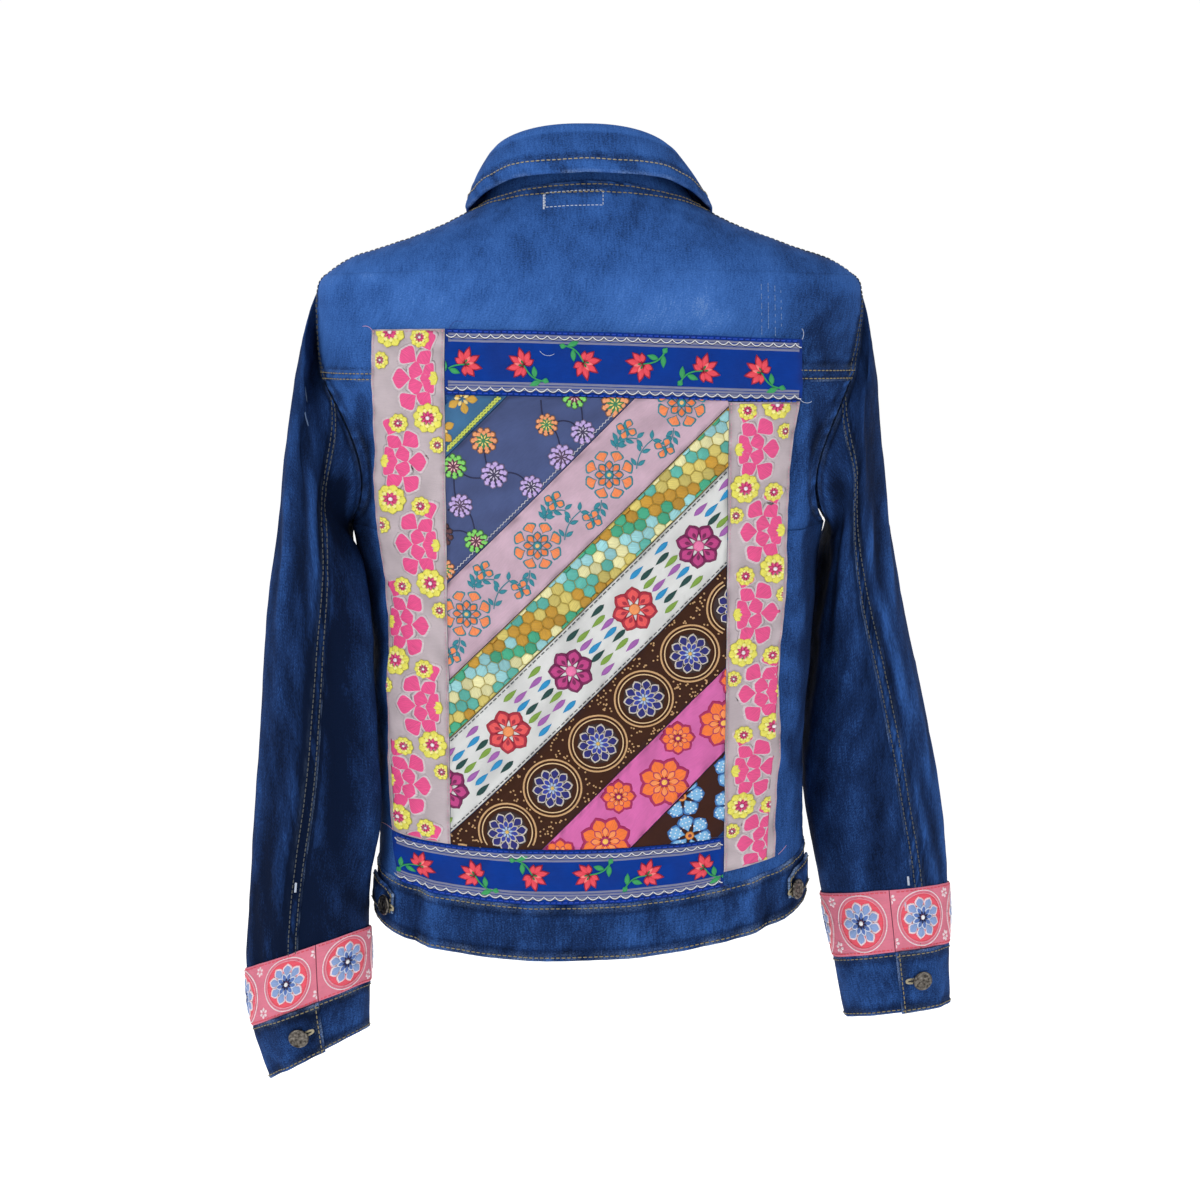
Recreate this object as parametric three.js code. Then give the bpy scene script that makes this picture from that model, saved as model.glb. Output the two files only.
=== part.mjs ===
// A women's denim jacket, hollow and filled out as if worn, with a patchwork panel of ribbons on its back.
// Millimetres. +Z is up, the jacket's back faces +Y and its wearer's left side is +X.
// The origin is midway between the shoulders, at the base of the neck.
import * as THREE from 'three';

// Cloth, and the gaps kept between pieces that are sewn together.
const DENIM = 1.6;
const DOUBLED = 2.4;
const TRIM = 1.0;
const SEAM_GAP = 0.4;
const LIFT_ON_CLOTH = 0.6;
const PATCH_GAP = 1;
const ARMHOLE_GAP = 1.7;

const DEGREE = Math.PI / 180;
const clamp01 = (t) => Math.min(1, Math.max(0, t));
const mix = (a, b, t) => a + (b - a) * t;
const smooth = (t) => clamp01(t) ** 2 * (3 - 2 * clamp01(t));

// A table has named columns; its first column is the one that it is read by, rising from row to row.
function table(columns, rows) {
  return { columns, rows };
}

// Reads a table at a value of its first column, along a smooth curve through its rows.
function read({ columns, rows }, value) {
  const last = rows.length - 1;
  let i = 0;
  while (i < last - 1 && value > rows[i + 1][0]) i += 1;
  const step = rows[i + 1][0] - rows[i][0];
  const t = clamp01((value - rows[i][0]) / step);
  const slope = (k, column) => {
    const before = Math.max(0, k - 1);
    const after = Math.min(last, k + 1);
    return (rows[after][column] - rows[before][column]) / (rows[after][0] - rows[before][0]);
  };
  const result = {};
  columns.forEach((name, column) => {
    const [a, b] = [rows[i][column], rows[i + 1][column]];
    const [slopeA, slopeB] = [slope(i, column) * step, slope(i + 1, column) * step];
    const square = 3 * (b - a) - 2 * slopeA - slopeB;
    const cube = 2 * (a - b) + slopeA + slopeB;
    result[name] = a + t * (slopeA + t * (square + t * cube));
  });
  return result;
}

// Level sections of the body, read by the height of the section at the side of the body.
// back and front are the section's heights at the middle of the back and of the front.
// lean is how far the wearer's left side hangs below that height, and the right side above it.
// shift is how far the section has slipped towards the wearer's left.
const TORSO = table(
  ['side', 'back', 'front', 'half', 'backDepth', 'frontDepth', 'square', 'lean', 'shift'],
  [
    [-545, -565, -561, 170.5, 108, 114, 2.5, 7, 0],
    [-505, -524, -521, 168, 106, 113, 2.5, 7, 0],
    [-465, -473, -474, 166.5, 104, 114, 2.5, 5, 0],
    [-400, -402, -404, 168, 103, 117, 2.5, 2, 1],
    [-340, -340, -345, 171, 106, 121, 2.5, 0, 2],
    [-250, -250, -257, 177, 110, 127, 2.5, 0, 1],
    [-200, -200, -214, 187, 113, 121, 2.5, 0, 0],
    [-130, -126, -164, 205, 111, 109, 2.5, 0, 0],
    [-95, -91, -140, 208, 103, 101, 2.4, 0, 0],
    [-60, -56, -118, 207, 91, 91, 2.3, 0, 0],
    [-50, -43, -106, 198, 85, 86, 2.3, 0, 0],
    [-40, -30, -96, 181, 79, 81, 2.2, 0, 0],
    [-30, -17, -87, 151, 73, 78, 2.2, 0, 0],
    [-18, -2, -79, 118, 67, 75, 2.1, 0, 0],
    [-7, 9, -72, 95, 63, 73, 2, 0, 0],
    [1, 17, -66, 82, 60, 71, 2, 0, 0],
  ],
);
const HEM_LEVEL = -545;
const BAND_LEVEL = -505;
const YOKE_LEVEL = -130;
const FRONT_YOKE_LEVEL = -140;
const NECK_LEVEL = 1;

// Soft folds in the cloth of the back and the front: each runs between two points seen square on.
const FOLD_COLUMNS = ['fromX', 'fromZ', 'toX', 'toZ', 'width', 'height'];
const BACK_FOLDS = [
  [-156, -190, -160, -320, 16, 4],
  [-134, -160, -138, -270, 15, -2.5],
  [160, -190, 152, -270, 16, 3],
  [150, -240, 156, -350, 16, -2.5],
  [-156, -340, -140, -430, 16, 3],
  [152, -340, 156, -460, 16, 2.5],
];
const FRONT_FOLDS = [
  [120, -190, 90, -330, 18, 4],
  [-120, -190, -90, -330, 18, 4],
  [145, -320, 115, -450, 18, -3],
  [-145, -320, -115, -450, 18, -3],
  [70, -260, 56, -480, 20, 3],
  [-70, -260, -56, -480, 20, 3],
];
// Folds die out this far from an armhole or a side seam.
const FOLD_FADE = 16;
// A fold runs on past each of its ends by this share of its length, and tapers over the next one.
const FOLD_RUN_ON = 0.15;
const FOLD_TAPER = 0.35;

function foldHeight(folds, x, z) {
  let height = 0;
  for (const row of folds) {
    const fold = Object.fromEntries(FOLD_COLUMNS.map((name, k) => [name, row[k]]));
    const [dx, dz] = [fold.toX - fold.fromX, fold.toZ - fold.fromZ];
    const along = ((x - fold.fromX) * dx + (z - fold.fromZ) * dz) / (dx * dx + dz * dz);
    const across = ((x - fold.fromX) * dz - (z - fold.fromZ) * dx) / Math.hypot(dx, dz);
    const taper = smooth((along + FOLD_RUN_ON) / FOLD_TAPER) * smooth((1 + FOLD_RUN_ON - along) / FOLD_TAPER);
    height += fold.height * taper * Math.exp(-((across / fold.width) ** 2));
  }
  return height;
}

function torsoSection(angle, level) {
  const section = read(TORSO, level);
  const [sin, cos] = [Math.sin(angle), Math.cos(angle)];
  const swell = (Math.abs(sin) ** section.square + Math.abs(cos) ** section.square) ** (-1 / section.square);
  const depth = cos > 0 ? section.backDepth : section.frontDepth;
  const middle = cos > 0 ? section.back : section.front;
  const height = mix(section.side, middle, cos * cos) - section.lean * sin * swell;
  return new THREE.Vector3(section.shift + section.half * swell * sin, depth * swell * cos, height);
}

// A point on the body's outer face and the face's outward direction.
// angle is 0 at the middle of the back, 90 degrees at the wearer's left side and 180 at the front.
function torso(angle, level, lift = 0) {
  const [turn, rise] = [0.01, 0.5];
  const point = torsoSection(angle, level);
  const above = Math.min(level + rise, NECK_LEVEL);
  const up = torsoSection(angle, above).sub(torsoSection(angle, above - 2 * rise));
  const round = torsoSection(angle + turn, level).sub(torsoSection(angle - turn, level));
  const normal = up.cross(round).normalize();
  const onFront = point.y < 0;
  const sign = point.x < 0 ? -1 : 1;
  const edgePoint = torsoSection(sign * sideEdge(level, onFront, sign), level);
  const fade = smooth(edgePoint.distanceTo(point) / FOLD_FADE);
  const folds = onFront ? FRONT_FOLDS : BACK_FOLDS;
  const height = lift + fade * foldHeight(folds, point.x, point.z);
  return { point: point.addScaledVector(normal, height), normal };
}

// The angle at which a section is x wide of the middle, on the back or on the front.
function angleAt(x, level, onFront = false) {
  const { half, square, shift } = read(TORSO, level);
  const share = Math.min(1, Math.abs(x - shift) / half);
  const rest = (1 - share ** square) ** (1 / square);
  return Math.atan2(Math.sign(x - shift) * share, onFront ? -rest : rest);
}

// A gap in millimetres, as an angle round the body.
const bodyGap = (angle, level) => {
  const step = 0.01;
  return (SEAM_GAP / 2) * step / torsoSection(angle, level).distanceTo(torsoSection(angle + step, level));
};

// The armhole, a closed edge on the body: turn is 0 at the shoulder, 90 degrees at the back, 180 at the armpit.
// The wearer's left sleeve is drawn back, so the cloth of the yoke stands out over it there.
// Its back and front edges reach in from its middle by so many degrees, at the bottom and at the top.
const ARMHOLE = {
  top: -53,
  bottom: -241,
  topAngle: 97,
  bottomAngle: 90,
  backReach: [42, 16],
  frontReach: [36, 18],
  roundness: 0.75,
};
const LEFT_OVERHANG = { level: -112, width: 26, degrees: 9 };

function armholeEdge(turn, sign) {
  const up = (1 + Math.cos(turn)) / 2;
  const side = Math.sin(turn);
  const level = mix(ARMHOLE.bottom, ARMHOLE.top, up);
  const reach = side >= 0 ? ARMHOLE.backReach : ARMHOLE.frontReach;
  const middle = mix(ARMHOLE.bottomAngle, ARMHOLE.topAngle, up);
  const nearOverhang = Math.exp(-(((level - LEFT_OVERHANG.level) / LEFT_OVERHANG.width) ** 2));
  const overhang = sign > 0 && side > 0 ? LEFT_OVERHANG.degrees * nearOverhang : 0;
  const inward = Math.sign(side) * mix(reach[0], reach[1], up) * Math.abs(side) ** ARMHOLE.roundness;
  const angle = middle + overhang - inward;
  return { angle: angle * DEGREE, level };
}

// The armhole's corners: the body's panels and the sleeve share them, but for any close to a seam between panels.
const ARMHOLE_STEP = 15;
const CLEAR_OF_SEAM = 3;
const ARMHOLE_LEVELS = [];
for (let degrees = 180; degrees >= 0; degrees -= ARMHOLE_STEP) {
  ARMHOLE_LEVELS.push(armholeEdge(degrees * DEGREE, -1).level);
}
const armholeLevels = (from, to) => ARMHOLE_LEVELS.filter(
  (level) => level > from + CLEAR_OF_SEAM && level < to - CLEAR_OF_SEAM,
);

// Where the armhole's back or front edge cuts a level, or the side seam below it and the shoulder seam above it.
function sideEdge(level, onFront, sign) {
  if (level <= ARMHOLE.bottom) return ARMHOLE.bottomAngle * DEGREE;
  if (level >= ARMHOLE.top) return ARMHOLE.topAngle * DEGREE;
  const up = (level - ARMHOLE.bottom) / (ARMHOLE.top - ARMHOLE.bottom);
  const turn = Math.acos(2 * up - 1);
  return armholeEdge(onFront ? -turn : turn, sign).angle;
}

// A closed wall of cloth: surface(across, along) gives its outer face, each from 0 to 1, and it thickens inwards.
function wall(columns, rows, thickness, surface) {
  const width = columns + 1;
  const count = width * (rows + 1);
  const positions = new Array(count * 6);
  for (let j = 0; j <= rows; j += 1) {
    for (let i = 0; i <= columns; i += 1) {
      const { point, normal } = surface(i / columns, j / rows);
      const k = j * width + i;
      point.toArray(positions, 3 * k);
      point.clone().addScaledVector(normal, -thickness).toArray(positions, 3 * (k + count));
    }
  }
  const triangles = [];
  const quad = (a, b, c, d) => triangles.push(a, b, c, a, c, d);
  for (let j = 0; j < rows; j += 1) {
    for (let i = 0; i < columns; i += 1) {
      const k = j * width + i;
      quad(k, k + 1, k + 1 + width, k + width);
      quad(k + count, k + width + count, k + 1 + width + count, k + 1 + count);
    }
  }
  for (let i = 0; i < columns; i += 1) {
    const top = rows * width + i;
    quad(i, i + count, i + 1 + count, i + 1);
    quad(top, top + 1, top + 1 + count, top + count);
  }
  for (let j = 0; j < rows; j += 1) {
    const left = j * width;
    const right = left + columns;
    quad(left, left + width, left + width + count, left + count);
    quad(right, right + count, right + width + count, right + width);
  }
  return closedGeometry(positions, triangles);
}

// Turns the triangles round where they face inwards.
function closedGeometry(positions, triangles) {
  const corner = (k) => new THREE.Vector3().fromArray(positions, 3 * k);
  let volume = 0;
  for (let k = 0; k < triangles.length; k += 3) {
    volume += corner(triangles[k]).dot(corner(triangles[k + 1]).cross(corner(triangles[k + 2])));
  }
  if (volume < 0) triangles.reverse();
  const geometry = new THREE.BufferGeometry();
  geometry.setAttribute('position', new THREE.Float32BufferAttribute(positions, 3));
  geometry.setIndex(triangles);
  geometry.computeVertexNormals();
  return geometry;
}

const jacket = new THREE.Group();
const MATERIALS = {
  denim: new THREE.MeshStandardMaterial({ color: 0x2c4f88, roughness: 0.9 }),
  floral: new THREE.MeshStandardMaterial({ color: 0xd8c6bf, roughness: 0.85 }),
  ribbon: new THREE.MeshStandardMaterial({ color: 0x1f3fa0, roughness: 0.7 }),
  slate: new THREE.MeshStandardMaterial({ color: 0x4a5a8c, roughness: 0.8 }),
  rose: new THREE.MeshStandardMaterial({ color: 0xd9b9bd, roughness: 0.8 }),
  mosaic: new THREE.MeshStandardMaterial({ color: 0xc9a640, roughness: 0.7 }),
  white: new THREE.MeshStandardMaterial({ color: 0xe6e6ea, roughness: 0.8 }),
  brown: new THREE.MeshStandardMaterial({ color: 0x4a3020, roughness: 0.8 }),
  pink: new THREE.MeshStandardMaterial({ color: 0xe887bd, roughness: 0.8 }),
  cuffRibbon: new THREE.MeshStandardMaterial({ color: 0xdf6b86, roughness: 0.75 }),
  metal: new THREE.MeshStandardMaterial({ color: 0x4b443c, roughness: 0.4, metalness: 1 }),
};

function add(name, material, geometry) {
  const mesh = new THREE.Mesh(geometry, MATERIALS[material]);
  mesh.name = name;
  jacket.add(mesh);
}

// Levels of a panel's rows: an even spread, with the given heights among them.
function levels(from, to, spacing, ...marks) {
  const stops = [from, ...marks, to];
  const result = [from];
  for (let k = 1; k < stops.length; k += 1) {
    const parts = Math.max(1, Math.round((stops[k] - stops[k - 1]) / spacing));
    for (let n = 1; n <= parts; n += 1) result.push(mix(stops[k - 1], stops[k], n / parts));
  }
  return result;
}

function bodyPanel(columns, rowLevels, edges, { thickness = DENIM, lift = 0 } = {}) {
  const last = rowLevels.length - 1;
  return wall(columns, last, thickness, (across, along) => {
    const level = rowLevels[Math.round(along * last)];
    const [start, end] = edges(level);
    return torso(mix(start, end, across), level, lift);
  });
}

// Back panel and yoke.
const HALF_GAP = SEAM_GAP / 2;
const backEdges = (level) => {
  const [right, left] = [-1, 1].map((sign) => sideEdge(level, false, sign));
  return [bodyGap(right, level) - right, left - bodyGap(left, level)];
};

const WAIST_MARK = -490;
add('back_panel', 'denim', bodyPanel(
  28,
  levels(BAND_LEVEL + HALF_GAP, YOKE_LEVEL - HALF_GAP, 32, WAIST_MARK, ...armholeLevels(BAND_LEVEL, YOKE_LEVEL)),
  backEdges,
));
const SHOULDER_MARKS = [-41, -30, -18, -7];
add('back_yoke', 'denim', bodyPanel(
  24,
  levels(YOKE_LEVEL + HALF_GAP, NECK_LEVEL, 30, ...armholeLevels(YOKE_LEVEL, NECK_LEVEL), ...SHOULDER_MARKS),
  backEdges,
));

// Fronts. The left one runs on under the button placket.
const PLACKET_HALF = 20;
const UNDERLAP = 15;
const FULL_TURN = 2 * Math.PI;
const frontX = (x, level) => (angleAt(x, level, true) + FULL_TURN) % FULL_TURN;
const leftFrontEdges = (level) => {
  const edge = sideEdge(level, true, 1);
  return [edge + bodyGap(edge, level), frontX(-UNDERLAP, level)];
};
const rightFrontEdges = (level) => {
  const edge = sideEdge(level, true, -1);
  return [FULL_TURN - edge - bodyGap(edge, level), frontX(-PLACKET_HALF - SEAM_GAP, level)];
};
const FRONTS = { left: leftFrontEdges, right: rightFrontEdges };
const frontLevels = levels(
  BAND_LEVEL + HALF_GAP, FRONT_YOKE_LEVEL - HALF_GAP, 44, ...armholeLevels(BAND_LEVEL, FRONT_YOKE_LEVEL),
);
const frontYokeLevels = levels(
  FRONT_YOKE_LEVEL + HALF_GAP, NECK_LEVEL, 30, ...armholeLevels(FRONT_YOKE_LEVEL, NECK_LEVEL), ...SHOULDER_MARKS,
);
for (const [side, edges] of Object.entries(FRONTS)) {
  add(`front_${side}`, 'denim', bodyPanel(10, frontLevels, edges));
  add(`front_yoke_${side}`, 'denim', bodyPanel(8, frontYokeLevels, edges));
}
add('button_placket', 'denim', bodyPanel(
  3,
  [...frontLevels, ...frontYokeLevels.slice(1)],
  (level) => [frontX(PLACKET_HALF, level), frontX(-PLACKET_HALF, level)],
  { thickness: DENIM, lift: LIFT_ON_CLOTH + DENIM },
));

// Waistband: the back piece ends at the side tabs' seams, the right one laps over the left at the front.
const BAND_PROUD = 0.8;
const BAND_SEAM_ANGLE = 84 * DEGREE;
const frontBandStart = (level) => BAND_SEAM_ANGLE + bodyGap(BAND_SEAM_ANGLE, level) * 2;
const WAISTBANDS = {
  waistband_back: [26, () => [-BAND_SEAM_ANGLE, BAND_SEAM_ANGLE]],
  waistband_left: [12, (level) => [frontBandStart(level), frontX(PLACKET_HALF + SEAM_GAP, level)]],
  waistband_right: [15, (level) => [FULL_TURN - frontBandStart(level), frontX(PLACKET_HALF, level)]],
};
for (const [name, [columns, edges]] of Object.entries(WAISTBANDS)) {
  const rowLevels = levels(HEM_LEVEL, BAND_LEVEL - HALF_GAP, 20);
  add(name, 'denim', bodyPanel(columns, rowLevels, edges, { thickness: DOUBLED, lift: BAND_PROUD }));
}

// Side tabs, buttoned on the waistband towards the back, each narrower at its free end.
const TAB = { from: 78, to: 57, level: -522, halfHeight: 12, pointShare: 0.25, narrowing: 0.35, thickness: 1.8 };
const TAB_BUTTON = { share: 0.84, level: -525 };
function sideTab(sign) {
  return wall(6, 2, TAB.thickness, (across, along) => {
    const narrowing = 1 - TAB.narrowing * smooth((across - 1 + TAB.pointShare) / TAB.pointShare);
    const level = TAB.level + (2 * along - 1) * TAB.halfHeight * narrowing;
    const angle = sign * mix(TAB.from, TAB.to, across) * DEGREE;
    return torso(angle, level, BAND_PROUD + LIFT_ON_CLOTH + TAB.thickness);
  });
}
add('side_tab_left', 'denim', sideTab(1));
add('side_tab_right', 'denim', sideTab(-1));

// Collar. rise and lean carry the fold up and in from the neck seam.
// The edge lies off the body's face, by edgeLift from the place that edgeAngle and edgeLevel give.
const COLLAR = table(
  ['angle', 'rise', 'lean', 'edgeAngle', 'edgeLevel', 'edgeLift'],
  [
    [0, 38.5, 10, 0, 1, 15],
    [28, 39, 10, 28, 0, 14],
    [52, 38, 13, 50, -1, 9],
    [75, 35, 16, 74, -3, 3.5],
    [90, 33, 17, 90, -4, 2.5],
    [112, 33, 15, 112, -10, 3.5],
    [132, 31, 11, 131, -25, 4.5],
    [150, 28, 6, 146, -40, 5.5],
    [165, 25, 2, 155, -54, 6],
    [174, 23.5, 0, 160, -64, 6],
  ],
);
const COLLAR_END = 174;
// The stand reaches this share of the way up to the roll, and the collar starts just above it.
const STAND_SHARE = 0.55;
const STAND_GAP = 0.03;
const ROLL_RADIUS = 4.2;
const ROLL_SWEEP = 150 * DEGREE;
const COLLAR_FOOT = 0.9;
const COLLAR_SWAY = 5;
const FALL_BULGE = 3;

const NECK = read(TORSO, NECK_LEVEL);

// A point of the collar: 0 to 1 up the stand, 1 to 2 round the roll and 2 to 3 down the fall.
function collarPoint(degrees, way) {
  const sign = degrees < 0 ? -1 : 1;
  const guide = read(COLLAR, Math.abs(degrees));
  const foot = torsoSection(Math.abs(degrees) * DEGREE, NECK_LEVEL);
  const outward = new THREE.Vector3(foot.x / NECK.half ** 2, foot.y / NECK.frontDepth ** 2, 0).normalize();
  const up = new THREE.Vector3(0, 0, 1);
  foot.addScaledVector(up, COLLAR_FOOT).addScaledVector(outward, -DOUBLED / 2);
  const crest = foot.clone().addScaledVector(outward, -guide.lean).addScaledVector(up, guide.rise - ROLL_RADIUS);
  const edge = torso(guide.edgeAngle * DEGREE, guide.edgeLevel, guide.edgeLift).point;
  const hub = crest.clone().addScaledVector(outward, ROLL_RADIUS);
  const onRoll = (share) => hub.clone()
    .addScaledVector(outward, -ROLL_RADIUS * Math.cos(share * ROLL_SWEEP))
    .addScaledVector(up, ROLL_RADIUS * Math.sin(share * ROLL_SWEEP));
  let point;
  if (way <= 1) point = foot.lerp(crest, way);
  else if (way <= 2) point = onRoll(way - 1);
  else point = onRoll(1).lerp(edge, way - 2).addScaledVector(outward, FALL_BULGE * Math.sin((way - 2) * Math.PI));
  point.x *= sign;
  point.x += COLLAR_SWAY * Math.sin(Math.PI * clamp01(way / 3));
  return point;
}

function collarWall(columns, ways) {
  const last = ways.length - 1;
  const [turn, step] = [0.5, 0.05];
  const reach = COLLAR_END - turn;
  return wall(columns, last, DOUBLED, (across, along) => {
    const degrees = mix(-COLLAR_END, COLLAR_END, across);
    const held = Math.min(reach, Math.max(-reach, degrees));
    const way = ways[Math.round(along * last)];
    const [low, high] = [Math.max(0, way - step), Math.min(3, way + step)];
    const round = collarPoint(held + turn, way).sub(collarPoint(held - turn, way));
    const over = collarPoint(degrees, high).sub(collarPoint(degrees, low));
    return { point: collarPoint(degrees, way), normal: over.cross(round).normalize() };
  });
}
add('collar_stand', 'denim', collarWall(30, [0, STAND_SHARE]));
add('collar', 'denim', collarWall(32, [STAND_SHARE + STAND_GAP, 1, 1.3, 1.65, 2, 2.33, 2.66, 3]));

// Sleeves, ring by ring: the outer and inner lines are the ones seen from behind, in millimetres from the middle.
const SLEEVE_COLUMNS = ['ring', 'outerX', 'outerZ', 'innerX', 'innerZ', 'middleY', 'depth', 'tilt'];
const LEFT_SLEEVE = table(SLEEVE_COLUMNS, [
  [0, 206, -53, 179, -241, 0, 55, 0],
  [1, 213, -72, 184, -246, 4, 57, 0],
  [2, 218, -94, 185.5, -254, 9, 57, 0],
  [3, 223, -124, 184, -266, 15, 57, 0],
  [4, 228, -160, 181, -281, 22, 56, 0],
  [5, 233, -204, 177.5, -303, 29, 54, 0],
  [6, 239, -252, 174.5, -331, 34, 51, 0],
  [7, 245, -302, 173, -366, 37, 49, 0.03],
  [8, 250.5, -352, 171.5, -404, 38, 47, 0.06],
  [9, 255.5, -404, 169, -442, 38, 45, 0.1],
  [10, 260.5, -456, 169, -480, 37, 44, 0.14],
  [11, 265, -508, 172, -513, 35, 43, 0.18],
  [12, 269, -554, 173.5, -538, 32, 42, 0.22],
  [13, 272, -597, 174.5, -562, 28, 40, 0.26],
  [14, 268.5, -648, 176.5, -611, 21, 38, 0.28],
  [15, 257, -694, 178.5, -651, 15, 36, 0.3],
]);
const RIGHT_SLEEVE = table(SLEEVE_COLUMNS, [
  [0, 206, -53, 179, -241, 0, 55, 0],
  [1, 212, -73, 184, -246, 0, 57, 0],
  [2, 216, -97, 187, -254, 0, 57, 0],
  [3, 221, -127, 185.5, -266, -1, 57, 0],
  [4, 226, -166, 182.5, -282, -2, 56, 0],
  [5, 232, -213, 179, -304, -4, 54, 0],
  [6, 240, -263, 176, -332, -6, 52, 0],
  [7, 251, -316, 174, -366, -8, 50, 0.03],
  [8, 263.5, -368, 174, -400, -10, 48, 0.06],
  [9, 274.5, -419, 176.5, -434, -13, 46, 0.1],
  [10, 283, -464, 180.5, -470, -17, 44, 0.14],
  [11, 288.5, -505, 184.5, -512, -21, 42, 0.18],
  [12, 291.5, -543, 189.5, -552, -25, 40, 0.22],
  [13, 293.5, -596, 201, -608, -30, 38, 0.26],
  [14, 296, -648, 212, -660, -36, 36, 0.28],
]);
// The back seam's place round each sleeve, in degrees, from the armhole to the cuff.
const SEAM_COLUMNS = ['ring', 'turn'];
const LEFT_SEAM = table(SEAM_COLUMNS, [
  [0, 90], [1.5, 104], [3, 111], [5, 111], [7, 106], [9, 98], [11, 90], [14, 84],
]);
const RIGHT_SEAM = table(SEAM_COLUMNS, [
  [0, 90], [1.5, 99], [3, 103], [5, 96], [7, 83], [9, 75], [11, 71], [13, 68],
]);
// lapEdge is where the cuff's free edge lies, and button where it is buttoned.
const SLEEVES = {
  left: {
    sign: 1, rings: LEFT_SLEEVE, seam: LEFT_SEAM, trimTop: 13, cuffTop: 14, end: 15, lapEdge: 103, button: 80,
  },
  right: {
    sign: -1, rings: RIGHT_SLEEVE, seam: RIGHT_SEAM, trimTop: 12, cuffTop: 13, end: 14, lapEdge: 92, button: 69,
  },
};
const UNDERARM_SEAM = 210;
const SLEEVE_SQUARE = 2.25;
const CAP_RINGS = 2.6;
// Folds along a sleeve, in degrees round it and in tenths of a ring along it.
const SLEEVE_FOLDS = {
  left: [
    [56, 22, 70, 65, 15, -4],
    [84, 24, 92, 65, 15, 2.5],
    [156, 27, 150, 110, 21, 12],
    [204, 32, 206, 128, 18, -3],
    [120, 62, 122, 105, 14, -3],
    [62, 85, 38, 110, 15, -2.5],
  ],
  right: [
    [208, 28, 210, 90, 21, 6],
    [166, 30, 166, 84, 16, -2.5],
    [112, 20, 106, 60, 15, 3.5],
    [46, 30, 60, 70, 15, -3],
    [30, 62, 12, 90, 16, -2.5],
    [125, 80, 100, 108, 15, 2],
  ],
};

function sleeveRing(sleeve, turn, ring) {
  const r = read(sleeve.rings, ring);
  const [sin, cos] = [Math.sin(turn), Math.cos(turn)];
  const swell = (Math.abs(sin) ** SLEEVE_SQUARE + Math.abs(cos) ** SLEEVE_SQUARE) ** (-1 / SLEEVE_SQUARE);
  const backward = r.depth * swell * sin;
  const outward = (1 + cos * swell) / 2;
  return new THREE.Vector3(
    mix(r.innerX, r.outerX, outward),
    r.middleY + backward,
    mix(r.innerZ, r.outerZ, outward) + r.tilt * backward,
  );
}

function sleeveBase(sleeve, turn, ring) {
  const point = sleeveRing(sleeve, turn, ring);
  const held = 1 - smooth(ring / CAP_RINGS);
  if (held > 0) {
    const edge = armholeEdge(turn, sleeve.sign);
    const onBody = torsoSection(edge.angle, edge.level);
    point.addScaledVector(onBody.sub(sleeveRing(sleeve, turn, 0)), held);
  }
  return point;
}

function sleeveSurface(side, turn, ring, lift = 0) {
  const sleeve = SLEEVES[side];
  const [round, down] = [0.02, 0.02];
  const low = Math.max(0, ring - down);
  const around = sleeveBase(sleeve, turn + round, ring).sub(sleeveBase(sleeve, turn - round, ring));
  const along = sleeveBase(sleeve, turn, low + 2 * down).sub(sleeveBase(sleeve, turn, low));
  const leaving = along.clone().normalize();
  const normal = along.cross(around).normalize();
  const degrees = THREE.MathUtils.euclideanModulo(turn / DEGREE, 360);
  const height = lift + foldHeight(SLEEVE_FOLDS[side], degrees, ring * 10);
  const point = sleeveBase(sleeve, turn, ring)
    .addScaledVector(leaving, ARMHOLE_GAP * (1 - smooth(ring)))
    .addScaledVector(normal, height);
  point.x *= sleeve.sign;
  normal.x *= sleeve.sign;
  return { point, normal };
}

// The cuff laps over its own start, and climbs onto it from the given share of the lap, over the second share.
const CUFF_LAP = 38 * DEGREE;
const CUFF_LAP_RISE = DOUBLED + LIFT_ON_CLOTH;
const CUFF_CLIMB = { from: 0.55, over: 0.5 };
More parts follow.
